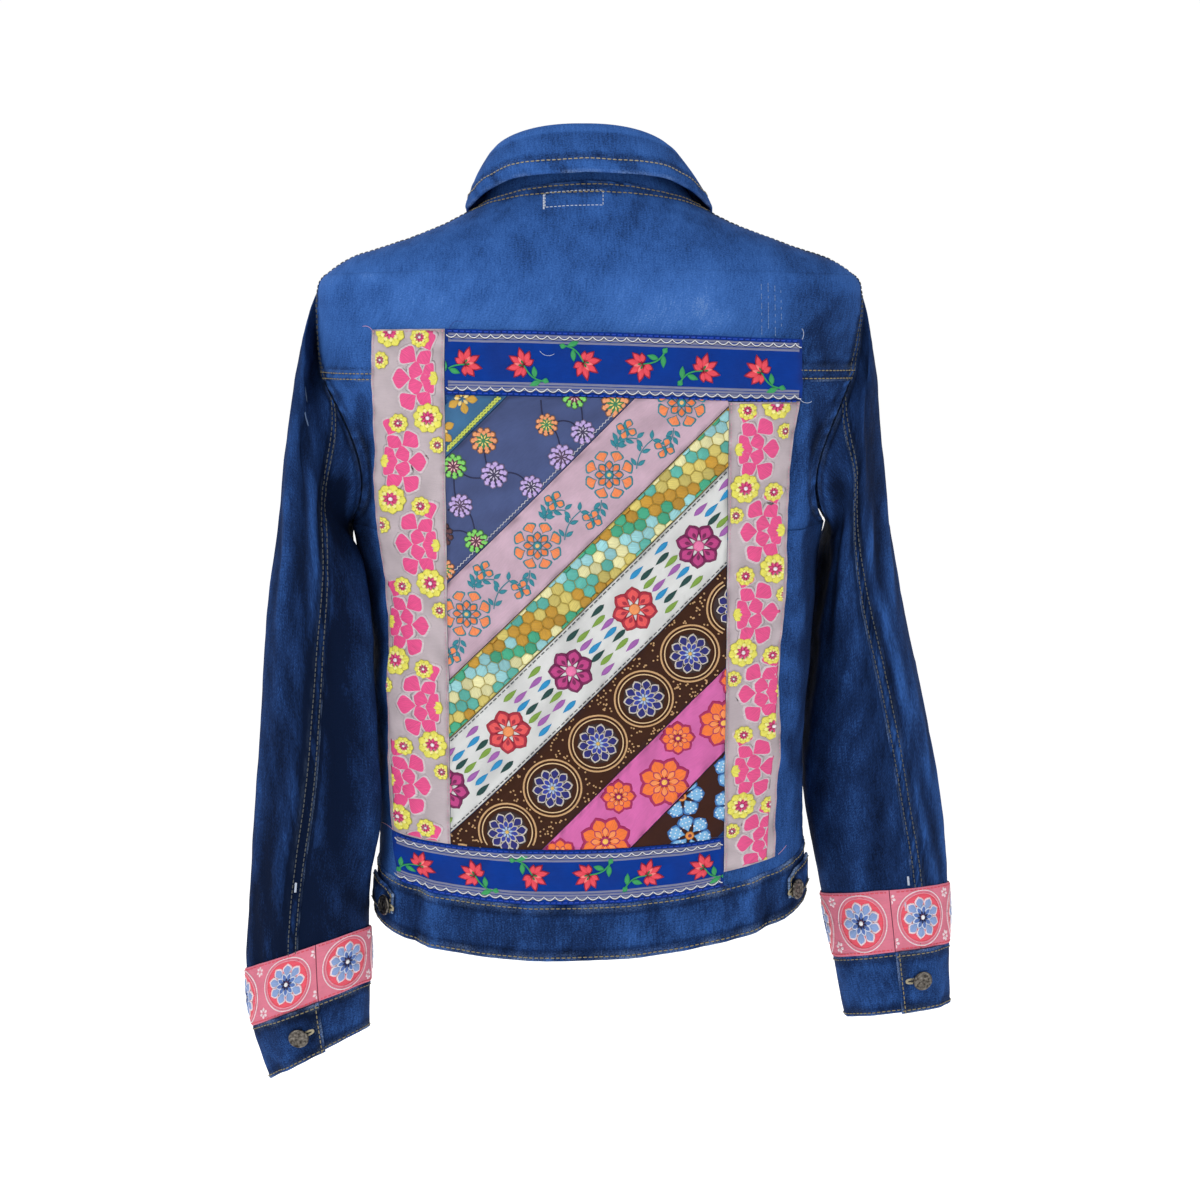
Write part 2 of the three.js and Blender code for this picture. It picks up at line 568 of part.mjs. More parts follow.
// Gaps at the cuff's seam and below the ribbon, as shares of a ring's pitch.
const CUFF_GAP = 0.01;
const RIBBON_GAP = 0.02;
const CAP_MARKS = [0.5, 1.2];
const SLEEVE_RADIUS = 46;
const SLEEVE_SEAM_HALF_GAP = SEAM_GAP / 2 / SLEEVE_RADIUS;
for (const [side, sleeve] of Object.entries(SLEEVES)) {
  const rings = levels(0, sleeve.cuffTop - CUFF_GAP, 1, ...CAP_MARKS);
  const last = rings.length - 1;
  const piece = (columns, from, to) => wall(columns, last, DENIM, (across, along) => {
    const ring = rings[Math.round(along * last)];
    const turn = mix(from(ring) + SLEEVE_SEAM_HALF_GAP, to(ring) - SLEEVE_SEAM_HALF_GAP, across);
    return sleeveSurface(side, turn, ring);
  });
  const backSeam = (ring) => read(sleeve.seam, ring).turn * DEGREE;
  add(`top_sleeve_${side}`, 'denim', piece(16, () => UNDERARM_SEAM * DEGREE - FULL_TURN, backSeam));
  add(`under_sleeve_${side}`, 'denim', piece(8, backSeam, () => UNDERARM_SEAM * DEGREE));

  const lapEnd = sleeve.lapEdge * DEGREE + FULL_TURN;
  const lapStart = lapEnd - FULL_TURN - CUFF_LAP;
  add(`cuff_${side}`, 'denim', wall(26, 2, DOUBLED, (across, along) => {
    const turn = mix(lapStart, lapEnd, across);
    const climbStart = lapStart + FULL_TURN - CUFF_LAP * CUFF_CLIMB.from;
    const overlap = smooth((turn - climbStart) / (CUFF_LAP * CUFF_CLIMB.over));
    const ring = mix(sleeve.end, sleeve.cuffTop + CUFF_GAP, along);
    return sleeveSurface(side, turn, ring, BAND_PROUD + overlap * CUFF_LAP_RISE);
  }));
  const ribbonStart = sleeve.lapEdge * DEGREE;
  add(`cuff_ribbon_${side}`, 'cuffRibbon', wall(26, 2, TRIM, (across, along) => {
    const turn = mix(ribbonStart, ribbonStart + FULL_TURN - 2 * SLEEVE_SEAM_HALF_GAP, across);
    const ring = mix(sleeve.cuffTop - RIBBON_GAP, sleeve.trimTop, along);
    return sleeveSurface(side, turn, ring, LIFT_ON_CLOTH + TRIM);
  }));
}

// Patchwork on the back, laid out in x and in height down the middle of the back.
const PATCH_LIFT = PATCH_GAP + TRIM;
const LEVEL_ROUNDS = 12;
const backLevel = (height) => {
  let level = height;
  for (let k = 0; k < LEVEL_ROUNDS; k += 1) level += height - read(TORSO, level).back;
  return level;
};
function onBack(x, height) {
  const level = backLevel(height);
  return torso(angleAt(x, level), level, PATCH_LIFT);
}
// The side strips' outer edges, from the bottom up.
const LEFT_EDGE = table(
  ['height', 'x'],
  [[-521, 146], [-479, 151.5], [-360, 151.5], [-320, 153], [-270, 155], [-200, 158], [-90, 159.5]],
);
const RIGHT_EDGE = table(
  ['height', 'x'],
  [[-512, -141], [-460, -142], [-400, -143], [-360, -141], [-300, -145], [-210, -148], [-142, -155]],
);
const INNER_LEFT = 104.5;
const INNER_RIGHT = -101.5;
const TOP_BAND = { leftTop: -90, rightTop: -97, leftBottom: -137, rightBottom: -142 };
const BOTTOM_BAND = { top: -479, bottom: -521 };
const TOP_BAND_RIGHT = -156;
const STRIP_RIGHT_BOTTOM = -509;
const slopeBetween = (left, right, x) => mix(left, right, (INNER_LEFT - x) / (INNER_LEFT - TOP_BAND_RIGHT));
const topBandBottom = (x) => slopeBetween(TOP_BAND.leftBottom, TOP_BAND.rightBottom, x);

function patch(columns, rows, place) {
  return wall(columns, rows, TRIM, (across, along) => onBack(...place(across, along)));
}
add('strip_left', 'floral', patch(4, 14, (across, along) => {
  const height = mix(BOTTOM_BAND.top + SEAM_GAP, TOP_BAND.leftTop, along);
  return [mix(INNER_LEFT + HALF_GAP, read(LEFT_EDGE, height).x, across), height];
}));
add('strip_right', 'floral', patch(4, 14, (across, along) => {
  const height = mix(STRIP_RIGHT_BOTTOM, TOP_BAND.rightBottom - SEAM_GAP, along);
  return [mix(read(RIGHT_EDGE, height).x, INNER_RIGHT - HALF_GAP, across), height];
}));
add('ribbon_top', 'ribbon', patch(20, 2, (across, along) => {
  const x = mix(TOP_BAND_RIGHT, INNER_LEFT - HALF_GAP, across);
  return [x, mix(topBandBottom(x), slopeBetween(TOP_BAND.leftTop, TOP_BAND.rightTop, x), along)];
}));
add('ribbon_bottom', 'ribbon', patch(22, 3, (across, along) => [
  mix(INNER_RIGHT + HALF_GAP, read(LEFT_EDGE, mix(BOTTOM_BAND.bottom, BOTTOM_BAND.top, along)).x, across),
  mix(BOTTOM_BAND.bottom, BOTTOM_BAND.top, along),
]));

// Eight ribbons slant across the middle. Each one's edges are lines of constant x + height.
const SLANTS = table(['order', 'edge'], [
  [0, -40], [1, -79], [2, -173], [3, -247], [4, -292], [5, -365], [6, -443], [7, -510], [8, -575],
]);
const SLANT_MATERIALS = ['slate', 'slate', 'rose', 'mosaic', 'white', 'brown', 'pink', 'brown'];
const INNER_BOTTOM = BOTTOM_BAND.top + SEAM_GAP;
// The top band's lower edge is about this high, which places the ribbons' upper ends under it.
const UNDER_TOP_BAND = -140;
SLANT_MATERIALS.forEach((material, order) => {
  const [upper, lower] = [SLANTS.rows[order][1], SLANTS.rows[order + 1][1]];
  const isShort = order === 0 || order === SLANT_MATERIALS.length - 1;
  add(`slant_ribbon_${order + 1}`, material, patch(isShort ? 7 : 15, isShort ? 2 : 3, (across, along) => {
    const edge = mix(lower + SEAM_GAP, upper - SEAM_GAP, along);
    const inner = [INNER_RIGHT + HALF_GAP, INNER_LEFT - HALF_GAP];
    const top = topBandBottom(edge - UNDER_TOP_BAND) - SEAM_GAP;
    const x = mix(Math.max(inner[0], edge - top), Math.min(inner[1], edge - INNER_BOTTOM), across);
    return [x, edge - x];
  }));
});

// Metal shank buttons: a domed head on a short stem, standing on the cloth.
const CUFF_BUTTON_SHARE = 0.47;
// The placket's flat facets lie this far inside its true curve, so its buttons sit in by as much.
const BUTTON_SINK = 0.3;
const BUTTON = { radius: 8, rim: 2.4, crown: 5.6, stem: 2.6, height: 3.6, stemHeight: 1.2, sides: 10 };
function button(name, { point, normal }) {
  const profile = [
    [0, 0], [BUTTON.stem, 0], [BUTTON.stem, BUTTON.stemHeight], [BUTTON.radius, BUTTON.stemHeight],
    [BUTTON.radius, BUTTON.rim], [BUTTON.crown, BUTTON.height], [0, BUTTON.height],
  ].map(([r, h]) => new THREE.Vector2(r, h));
  const geometry = new THREE.LatheGeometry(profile, BUTTON.sides);
  const upright = new THREE.Quaternion().setFromUnitVectors(new THREE.Vector3(0, 1, 0), normal);
  geometry.applyQuaternion(upright);
  const seat = point.clone().addScaledVector(normal, SEAM_GAP);
  geometry.translate(seat.x, seat.y, seat.z);
  geometry.deleteAttribute('normal');
  geometry.deleteAttribute('uv');
  add(name, 'metal', geometry);
}
const PLACKET_FACE = LIFT_ON_CLOTH + DENIM;
const FRONT_BUTTON_LEVELS = [-70, -165, -260, -355, -450];
FRONT_BUTTON_LEVELS.forEach((level, k) => {
  button(`front_button_${k + 1}`, torso(frontX(0, level), level, PLACKET_FACE - BUTTON_SINK));
});
const BAND_MIDDLE = (HEM_LEVEL + BAND_LEVEL) / 2;
button('waistband_button', torso(Math.PI, BAND_MIDDLE, BAND_PROUD));
for (const [side, sleeve] of Object.entries(SLEEVES)) {
  const ring = mix(sleeve.cuffTop, sleeve.end, CUFF_BUTTON_SHARE);
  const seat = sleeveSurface(side, sleeve.button * DEGREE, ring, BAND_PROUD + CUFF_LAP_RISE);
  button(`cuff_button_${side}`, seat);
  const tabAngle = sleeve.sign * mix(TAB.from, TAB.to, TAB_BUTTON.share) * DEGREE;
  button(`tab_button_${side}`, torso(tabAngle, TAB_BUTTON.level, BAND_PROUD + LIFT_ON_CLOTH + TAB.thickness));
}

export default jacket;
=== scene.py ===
"""A women's denim jacket with a patchwork back, hollow and filled out as if worn.

Lengths are millimetres in the tables and functions, and metres in Blender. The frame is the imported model's:
+Z is up, the jacket's back faces +Y and its wearer's left side is +X.
"""
import math

import bpy
import numpy as np
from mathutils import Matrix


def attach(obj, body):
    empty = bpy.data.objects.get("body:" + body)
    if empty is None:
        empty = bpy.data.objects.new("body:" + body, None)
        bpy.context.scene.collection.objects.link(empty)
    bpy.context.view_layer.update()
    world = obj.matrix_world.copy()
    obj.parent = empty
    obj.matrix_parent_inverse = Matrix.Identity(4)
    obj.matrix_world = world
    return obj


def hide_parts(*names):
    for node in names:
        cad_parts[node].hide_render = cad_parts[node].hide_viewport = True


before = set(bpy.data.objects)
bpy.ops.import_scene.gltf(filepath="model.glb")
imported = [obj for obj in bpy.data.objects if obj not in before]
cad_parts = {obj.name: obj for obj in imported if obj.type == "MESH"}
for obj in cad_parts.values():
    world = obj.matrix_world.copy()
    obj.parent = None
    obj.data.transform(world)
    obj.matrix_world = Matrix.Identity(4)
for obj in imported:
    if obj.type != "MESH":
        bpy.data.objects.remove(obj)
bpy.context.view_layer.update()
MM = 0.001

# Cloth, and the gaps between pieces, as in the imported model.
DENIM = 1.6
DOUBLED = 2.4
TRIM = 1.0
SEAM_GAP = 0.4
LIFT_ON_CLOTH = 0.6
PATCH_LIFT = 2.3
ARMHOLE_GAP = 1.7
BAND_PROUD = 0.8
# The shells' grids are this fine near their edges, and wider by a factor past them.
PITCH = 3.0
EDGE_ZONE = 20.0
WIDENING = 1.5


def mix(a, b, t):
    return a + (b - a) * t


def smooth(t):
    t = np.clip(t, 0, 1)
    return t * t * (3 - 2 * t)


def bell(distance, width):
    return np.exp(-((distance / width) ** 2))


def unit(vectors):
    return vectors / np.maximum(np.linalg.norm(vectors, axis=-1, keepdims=True), 1e-9)


def ripple(x, y, length, seed, waves=6):
    """Soft unevenness from -1 to 1, with bumps about the given length apart."""
    rng = np.random.default_rng(seed)
    total = 0
    for _ in range(waves):
        heading, phase = rng.uniform(0, 2 * math.pi, 2)
        stretch = length * rng.uniform(0.7, 1.6)
        along = x * math.cos(heading) + y * math.sin(heading)
        total = total + np.sin(along * 2 * math.pi / stretch + phase)
    return total / waves * 1.6


class Table:
    """Rows of numbers under named columns, read along a smooth curve by the first column."""

    def __init__(self, columns, rows):
        self.columns = columns.split()
        self.rows = np.array(rows, float)
        self.key = self.rows[:, 0]
        order = np.arange(len(rows))
        before, after = np.maximum(order - 1, 0), np.minimum(order + 1, len(rows) - 1)
        self.slopes = (self.rows[after] - self.rows[before]) / (self.key[after] - self.key[before])[:, None]

    def read(self, value):
        value = np.asarray(value, float)
        i = np.clip(np.searchsorted(self.key, value, side="right") - 1, 0, len(self.key) - 2)
        step = (self.key[i + 1] - self.key[i])[..., None]
        t = np.clip((value - self.key[i])[..., None] / step, 0, 1)
        a, b = self.rows[i], self.rows[i + 1]
        slope_a, slope_b = self.slopes[i] * step, self.slopes[i + 1] * step
        curve = slope_a + t * (3 * (b - a) - 2 * slope_a - slope_b + t * (2 * (a - b) + slope_a + slope_b))
        result = a + t * curve
        return {name: result[..., k] for k, name in enumerate(self.columns)}


# The body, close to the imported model's: level sections, read by the section's height at the side of the body.
TORSO = Table(
    "side back front half back_depth front_depth square lean shift",
    [
        [-545, -565, -561, 171, 108, 114, 2.5, 7, -0.5],
        [-505, -524, -521, 168.5, 106, 113, 2.5, 7, -1],
        [-465, -473, -474, 167.5, 104, 114, 2.5, 5, -1],
        [-400, -402, -404, 168.5, 103, 117, 2.5, 2, 0],
        [-340, -340, -345, 172.5, 106, 121, 2.5, 0, -0.5],
        [-295, -295, -301, 176.2, 108, 124, 2.5, 0, 0],
        [-250, -250, -257, 181.5, 110, 127, 2.5, 0, 1.5],
        [-200, -200, -214, 187, 113, 121, 2.5, 0, 0],
        [-130, -126, -164, 205, 111, 109, 2.5, 0, 0],
        [-95, -91, -140, 208, 103, 101, 2.4, 0, 0],
        [-60, -56, -118, 207, 91, 91, 2.3, 0, 0],
        [-50, -43, -106, 198, 85, 86, 2.3, 0, 0],
        [-40, -30, -96, 181, 79, 81, 2.2, 0, 0],
        [-30, -17, -87, 151, 73, 78, 2.2, 0, 0],
        [-18, -2, -79, 118, 67, 75, 2.1, 0, 0],
        [-7, 9, -72, 95, 63, 73, 2, 0, 0],
        [1, 17, -66, 82, 60, 71, 2, 0, 0],
    ],
)
HEM_LEVEL = -545
BAND_LEVEL = -505
YOKE_LEVEL = -130
FRONT_YOKE_LEVEL = -140
NECK_LEVEL = 1

# Folds, each between two points seen square on, with a width and a rise. Most of the widest are in the packed
# model too.
BACK_FOLDS = [
    [-156, -190, -160, -320, 16, 4],
    [-134, -160, -138, -270, 15, -2],
    [160, -190, 152, -270, 16, 3],
    [150, -240, 156, -350, 16, -2.5],
    [-156, -340, -140, -430, 16, 3],
    [152, -340, 156, -460, 16, 2.5],
    [-150, -138, -151, -250, 7, -2.2],
    [-160, -140, -166, -210, 6, 1.8],
    [184, -222, 183, -248, 8, 1.5],
    [-187, -225, -186, -258, 9, 2.5],
    [170, -142, 164, -230, 7, -2],
    [178, -150, 176, -215, 6, 1.8],
    [-150, -398, -165, -440, 8, -2.2],
    [-158, -300, -148, -352, 8, 1.8],
    [157, -372, 163, -440, 7, -2],
    [-134, -500, -140, -566, 5, -2.6],
    [-120, -505, -124, -566, 6, 2.2],
    [131, -505, 136, -570, 5, -2.6],
    [117, -508, 121, -570, 6, 2.2],
    [-30, -512, -34, -568, 11, 1.6],
    [42, -512, 46, -568, 11, 1.6],
    [-168, -150, -172, -300, 9, -3],
    [-160, -230, -170, -330, 7, -2],
    [176, -160, 168, -300, 8, -2.6],
    [163, -250, 170, -360, 7, -2],
    [96, -514, 99, -568, 9, -1.4],
    [-84, -512, -88, -568, 9, -1.4],
]
FRONT_FOLDS = [
    [120, -190, 90, -330, 18, 4],
    [-120, -190, -90, -330, 18, 4],
    [145, -320, 115, -450, 18, -3],
    [-145, -320, -115, -450, 18, -3],
    [70, -260, 56, -480, 20, 3],
    [-70, -260, -56, -480, 20, 3],
    [135, -230, 108, -300, 9, -2],
    [-138, -240, -112, -310, 9, -2],
    [100, -400, 84, -490, 9, 2],
    [-104, -390, -88, -480, 9, 2],
    [120, -505, 124, -560, 6, 2],
    [-122, -505, -126, -560, 6, 2],
]
FOLD_FADE = 16


def fold_height(folds, x, z):
    height = 0
    for from_x, from_z, to_x, to_z, width, rise in folds:
        dx, dz = to_x - from_x, to_z - from_z
        along = ((x - from_x) * dx + (z - from_z) * dz) / (dx * dx + dz * dz)
        across = ((x - from_x) * dz - (z - from_z) * dx) / math.hypot(dx, dz)
        taper = smooth((along + 0.15) / 0.35) * smooth((1.15 - along) / 0.35)
        height = height + rise * taper * bell(across, width)
    return height


def torso_section(angle, level):
    s = TORSO.read(level)
    sin, cos = np.sin(angle), np.cos(angle)
    swell = (np.abs(sin) ** s["square"] + np.abs(cos) ** s["square"]) ** (-1 / s["square"])
    depth = np.where(cos > 0, s["back_depth"], s["front_depth"])
    middle = np.where(cos > 0, s["back"], s["front"])
    height = mix(s["side"], middle, cos * cos) - s["lean"] * sin * swell
    x = s["shift"] + s["half"] * swell * sin
    return np.stack(np.broadcast_arrays(x, depth * swell * cos, height), -1)


# The armhole: turn is 0 at the shoulder, 90 degrees at the back and 180 at the armpit.
ARMHOLE_TOP, ARMHOLE_BOTTOM = -53, -241
ARMHOLE_TOP_ANGLE, ARMHOLE_BOTTOM_ANGLE = 97, 90
ARMHOLE_BACK_REACH = (42, 16)
ARMHOLE_FRONT_REACH = (36, 18)
ARMHOLE_ROUNDNESS = 0.75
OVERHANG_LEVEL, OVERHANG_WIDTH, OVERHANG_DEGREES = -112, 26, 9


def armhole_edge(turn, sign):
    up = (1 + np.cos(turn)) / 2
    side = np.sin(turn)
    level = mix(ARMHOLE_BOTTOM, ARMHOLE_TOP, up)
    back, front = mix(*ARMHOLE_BACK_REACH, up), mix(*ARMHOLE_FRONT_REACH, up)
    overhang = OVERHANG_DEGREES * bell(level - OVERHANG_LEVEL, OVERHANG_WIDTH)
    overhang = np.where((sign > 0) & (side > 0), overhang, 0)
    middle = mix(ARMHOLE_BOTTOM_ANGLE, ARMHOLE_TOP_ANGLE, up) + overhang
    reach = np.where(side >= 0, back, front) * np.abs(side) ** ARMHOLE_ROUNDNESS
    return np.radians(middle - np.sign(side) * reach), level


def side_edge(level, on_front, sign):
    """The armhole's edge at a level, or the side seam below it and the shoulder seam above it."""
    up = np.clip((level - ARMHOLE_BOTTOM) / (ARMHOLE_TOP - ARMHOLE_BOTTOM), 0, 1)
    turn = np.arccos(2 * up - 1)
    angle = armhole_edge(np.where(on_front, -turn, turn), sign)[0]
    below, above = np.radians(ARMHOLE_BOTTOM_ANGLE), np.radians(ARMHOLE_TOP_ANGLE)
    return np.where(level <= ARMHOLE_BOTTOM, below, np.where(level >= ARMHOLE_TOP, above, angle))


def torso(angle, level, lift=0.0):
    """Points on the body's outer face, and its outward directions."""
    turn, rise = 0.01, 0.5
    point = torso_section(angle, level)
    above = np.minimum(level + rise, NECK_LEVEL)
    up = torso_section(angle, above) - torso_section(angle, above - 2 * rise)
    around = torso_section(angle + turn, level) - torso_section(angle - turn, level)
    normal = unit(np.cross(up, around))
    x, z = point[..., 0], point[..., 2]
    on_front = point[..., 1] < 0
    sign = np.where(x < 0, -1, 1)
    edge = torso_section(sign * side_edge(level, on_front, sign), level)
    fade = smooth(np.linalg.norm(edge - point, axis=-1) / FOLD_FADE)
    folds = np.where(on_front, fold_height(FRONT_FOLDS, x, z), fold_height(BACK_FOLDS, x, z))
    height = lift + fade * (folds + 0.5 * ripple(x, z, 46, 3) + 0.22 * ripple(x, z, 17, 4))
    return point + normal * np.asarray(height)[..., None], normal


def angle_at(x, level, on_front=False):
    s = TORSO.read(level)
    share = np.minimum(1, np.abs(x - s["shift"]) / s["half"])
    rest = (1 - share ** s["square"]) ** (1 / s["square"])
    return np.arctan2(np.sign(x - s["shift"]) * share, -rest if on_front else rest)


# Sleeves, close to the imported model's: the outer and inner lines are the ones seen from behind.
SLEEVE_COLUMNS = "ring outer_x outer_z inner_x inner_z middle_y depth tilt"
LEFT_RINGS = Table(
    SLEEVE_COLUMNS,
    [
        [0, 206, -53, 179, -241, 0, 55, 0],
        [1, 213, -72, 184, -246, 4, 57, 0],
        [2, 218, -94, 185.5, -254, 9, 57, 0],
        [3, 223, -124, 183.5, -266, 17, 57, 0],
        [4, 228, -160, 180.5, -281, 31, 56, 0],
        [5, 233, -204, 176.5, -303, 37, 54, 0],
        [6, 239, -252, 174.5, -331, 39, 51, 0],
        [7, 245, -302, 173, -366, 41, 49, 0.03],
        [8, 250.5, -352, 171.5, -404, 38, 47, 0.06],
        [9, 255.5, -404, 169, -442, 38, 45, 0.1],
        [10, 260.5, -456, 169, -480, 37, 44, 0.14],
        [11, 265, -508, 172, -513, 35, 43, 0.18],
        [12, 269, -554, 173.5, -538, 32, 42, 0.22],
        [13, 272, -597, 174.5, -562, 28, 40, 0.26],
        [14, 268.5, -648, 176.5, -611, 21, 38, 0.28],
        [15, 257, -694, 178.5, -651, 15, 36, 0.3],
    ],
)
RIGHT_RINGS = Table(
    SLEEVE_COLUMNS,
    [
        [0, 206, -53, 179, -241, 0, 55, 0],
        [1, 212, -73, 184, -246, 0, 57, 0],
        [2, 216, -97, 187, -254, 0, 57, 0],
        [3, 221, -127, 186.5, -266, -4, 57, 0],
        [4, 226, -166, 184, -282, -10, 56, 0],
        [5, 232, -213, 181, -304, -16, 54, 0],
        [6, 240, -263, 178, -332, -21, 52, 0],
        [7, 251, -316, 175.5, -366, -24, 50, 0.03],
        [8, 263.5, -368, 173.5, -400, -26, 48, 0.06],
        [9, 274.5, -419, 172, -434, -28, 46, 0.1],
        [10, 283, -464, 173.5, -470, -29, 44, 0.14],
        [11, 288.5, -505, 181, -512, -30, 42, 0.18],
        [12, 291.5, -543, 189.5, -552, -31, 40, 0.22],
        [13, 293.5, -596, 201, -608, -33, 38, 0.26],
        [14, 296, -648, 212, -660, -36, 36, 0.28],
    ],
)
SEAM_COLUMNS = "ring turn"
LEFT_SEAM = Table(
    SEAM_COLUMNS, [[0, 90], [1.5, 104], [3, 111], [5, 111], [7, 106], [9, 98], [11, 90], [14, 84]],
)
RIGHT_SEAM = Table(
    SEAM_COLUMNS, [[0, 90], [1.5, 99], [3, 103], [5, 96], [7, 83], [9, 75], [11, 71], [13, 68]],
)
# Folds along a sleeve, in degrees round it and in tenths of a ring along it.
LEFT_SLEEVE_FOLDS = [
    [56, 22, 70, 65, 15, -4],
    [84, 24, 92, 65, 15, 2.5],
    [156, 24, 150, 110, 22, 12],
    [204, 32, 206, 128, 18, -3],
    [120, 62, 122, 105, 14, -3],
    [62, 85, 38, 110, 15, -2.5],
    [100, 20, 108, 60, 6, -1.6],
    [70, 30, 84, 70, 7, -2],
    [40, 40, 58, 88, 8, 1.8],
    [20, 56, 44, 62, 7, -1.6],
    [10, 70, 60, 82, 7, 1.6],
    [96, 96, 70, 118, 7, -1.8],
    [60, 108, 84, 128, 7, 1.8],
    [30, 112, 48, 132, 7, -1.8],
    [130, 12, 96, 44, 9, -3],
    [70, 10, 66, 40, 8, -2.2],
    [140, 60, 80, 74, 9, -2.2],
]
RIGHT_SLEEVE_FOLDS = [
    [208, 28, 210, 90, 21, 6],
    [166, 30, 166, 84, 16, -2.5],
    [112, 20, 106, 60, 15, 3.5],
    [46, 30, 60, 70, 15, -3],
    [30, 62, 12, 90, 16, -2.5],
    [125, 80, 100, 108, 15, 2],
    [130, 26, 134, 70, 7, -2.2],
    [86, 16, 90, 56, 7, -2],
    [70, 48, 52, 84, 8, 1.8],
    [96, 60, 60, 74, 6, -1.5],
    [110, 84, 60, 92, 7, 1.5],
    [50, 96, 30, 118, 7, -1.8],
    [90, 100, 108, 118, 7, -1.6],
    [128, 12, 96, 50, 9, -3],
    [60, 8, 66, 44, 8, -2.2],
    [36, 50, 90, 66, 9, -2.2],
]


class Sleeve:
    """One sleeve's measures. lap_edge is where its cuff's free edge lies and button where it is buttoned."""

    def __init__(self, side, sign, rings, seam, folds, trim_top, lap_edge, button):
        self.side, self.sign, self.rings, self.seam, self.folds = side, sign, rings, seam, folds
        self.trim_top, self.cuff_top, self.end = trim_top, trim_top + 1, trim_top + 2
        self.lap_edge, self.button = lap_edge, button

    def ring_point(self, turn, ring):
        r = self.rings.read(ring)
        sin, cos = np.sin(turn), np.cos(turn)
        swell = (np.abs(sin) ** SLEEVE_SQUARE + np.abs(cos) ** SLEEVE_SQUARE) ** (-1 / SLEEVE_SQUARE)
        backward = r["depth"] * swell * sin
        outward = (1 + cos * swell) / 2
        x = mix(r["inner_x"], r["outer_x"], outward)
        z = mix(r["inner_z"], r["outer_z"], outward) + r["tilt"] * backward
        return np.stack(np.broadcast_arrays(x, r["middle_y"] + backward, z), -1)

    def base(self, turn, ring):
        held = (1 - smooth(ring / CAP_RINGS))[..., None]
        angle, level = armhole_edge(turn, self.sign)
        on_body = torso_section(angle, level)
        return self.ring_point(turn, ring) + held * (on_body - self.ring_point(turn, np.zeros_like(ring)))

    def surface(self, turn, ring, lift=0.0):
        turn, ring = np.broadcast_arrays(np.asarray(turn, float), np.asarray(ring, float))
        step = 0.02
        low = np.maximum(0, ring - step)
        around = self.base(turn + step, ring) - self.base(turn - step, ring)
        along = self.base(turn, low + 2 * step) - self.base(turn, low)
        normal = unit(np.cross(along, around))
        degrees = np.degrees(turn) % 360
        # Where the sleeve is gathered into the armhole, the small unevenness fades.
        calm = smooth(ring / 1.5) * 0.5
        uneven = ripple(degrees, ring * 34, 48, 5) + 0.5 * ripple(degrees, ring * 34, 19, 6)
        height = lift + fold_height(self.folds, degrees, ring * 10) + calm * uneven
        gap = ARMHOLE_GAP * (1 - smooth(ring))
        point = self.base(turn, ring) + unit(along) * gap[..., None] + normal * np.asarray(height)[..., None]
        mirror = np.array([self.sign, 1, 1])
        return point * mirror, normal * mirror


SLEEVE_SQUARE = 2.25
CAP_RINGS = 2.6
UNDERARM_SEAM = 210
CUFF_LAP = np.radians(38)
LEFT_SLEEVE = Sleeve("left", 1, LEFT_RINGS, LEFT_SEAM, LEFT_SLEEVE_FOLDS, 13, 103, 80)
RIGHT_SLEEVE = Sleeve("right", -1, RIGHT_RINGS, RIGHT_SEAM, RIGHT_SLEEVE_FOLDS, 12, 92, 69)

# The collar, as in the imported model.
COLLAR = Table(
    "angle rise lean edge_angle edge_level edge_lift",
    [
        [0, 38.5, 10, 0, 1, 15],
        [28, 39, 10, 28, 0, 14],
        [52, 38, 13, 50, -1, 9],
        [75, 35, 16, 74, -3, 3.5],
        [90, 33, 17, 90, -4, 2.5],
        [112, 33, 15, 112, -10, 3.5],
        [132, 31, 11, 131, -25, 4.5],
        [150, 28, 6, 146, -40, 5.5],
        [165, 25, 2, 155, -54, 6],
        [174, 23.5, 0, 160, -64, 6],
    ],
)
COLLAR_END = 174
STAND_SHARE = 0.55
ROLL_RADIUS = 4.2
ROLL_SWEEP = np.radians(150)
COLLAR_FOOT = 0.9
COLLAR_SWAY = 5
COLLAR_BULGE = 3
UP = np.array([0.0, 0.0, 1.0])


def collar_point(degrees, way):
    """0 to 1 is up the stand, 1 to 2 round the roll and 2 to 3 down the fall."""
    degrees, way = np.broadcast_arrays(np.asarray(degrees, float), np.asarray(way, float))
    sign = np.where(degrees < 0, -1, 1)
    guide = COLLAR.read(np.abs(degrees))
    neck = TORSO.read(NECK_LEVEL)
    level = np.full(degrees.shape, float(NECK_LEVEL))
    foot = torso_section(np.radians(np.abs(degrees)), level)
    outward_x = foot[..., 0] / neck["half"] ** 2
    outward_y = foot[..., 1] / neck["front_depth"] ** 2
    outward = unit(np.stack([outward_x, outward_y, 0 * level], -1))
    foot = foot + UP * COLLAR_FOOT - outward * DOUBLED / 2
    crest = foot - outward * guide["lean"][..., None] + UP * (guide["rise"] - ROLL_RADIUS)[..., None]
    edge = torso(np.radians(guide["edge_angle"]), guide["edge_level"], guide["edge_lift"])[0]
    hub = crest + outward * ROLL_RADIUS

    def on_roll(share):
        sweep = (np.asarray(share) * ROLL_SWEEP)[..., None]
        return hub - outward * ROLL_RADIUS * np.cos(sweep) + UP * ROLL_RADIUS * np.sin(sweep)

    w = way[..., None]
    fall = mix(on_roll(np.ones_like(way)), edge, w - 2) + outward * COLLAR_BULGE * np.sin((w - 2) * math.pi)
    point = np.where(w <= 1, mix(foot, crest, w), np.where(w <= 2, on_roll(way - 1), fall))
    x = point[..., 0] * sign + COLLAR_SWAY * np.sin(math.pi * np.clip(way / 3, 0, 1))
    return np.stack([x, point[..., 1], point[..., 2]], -1)


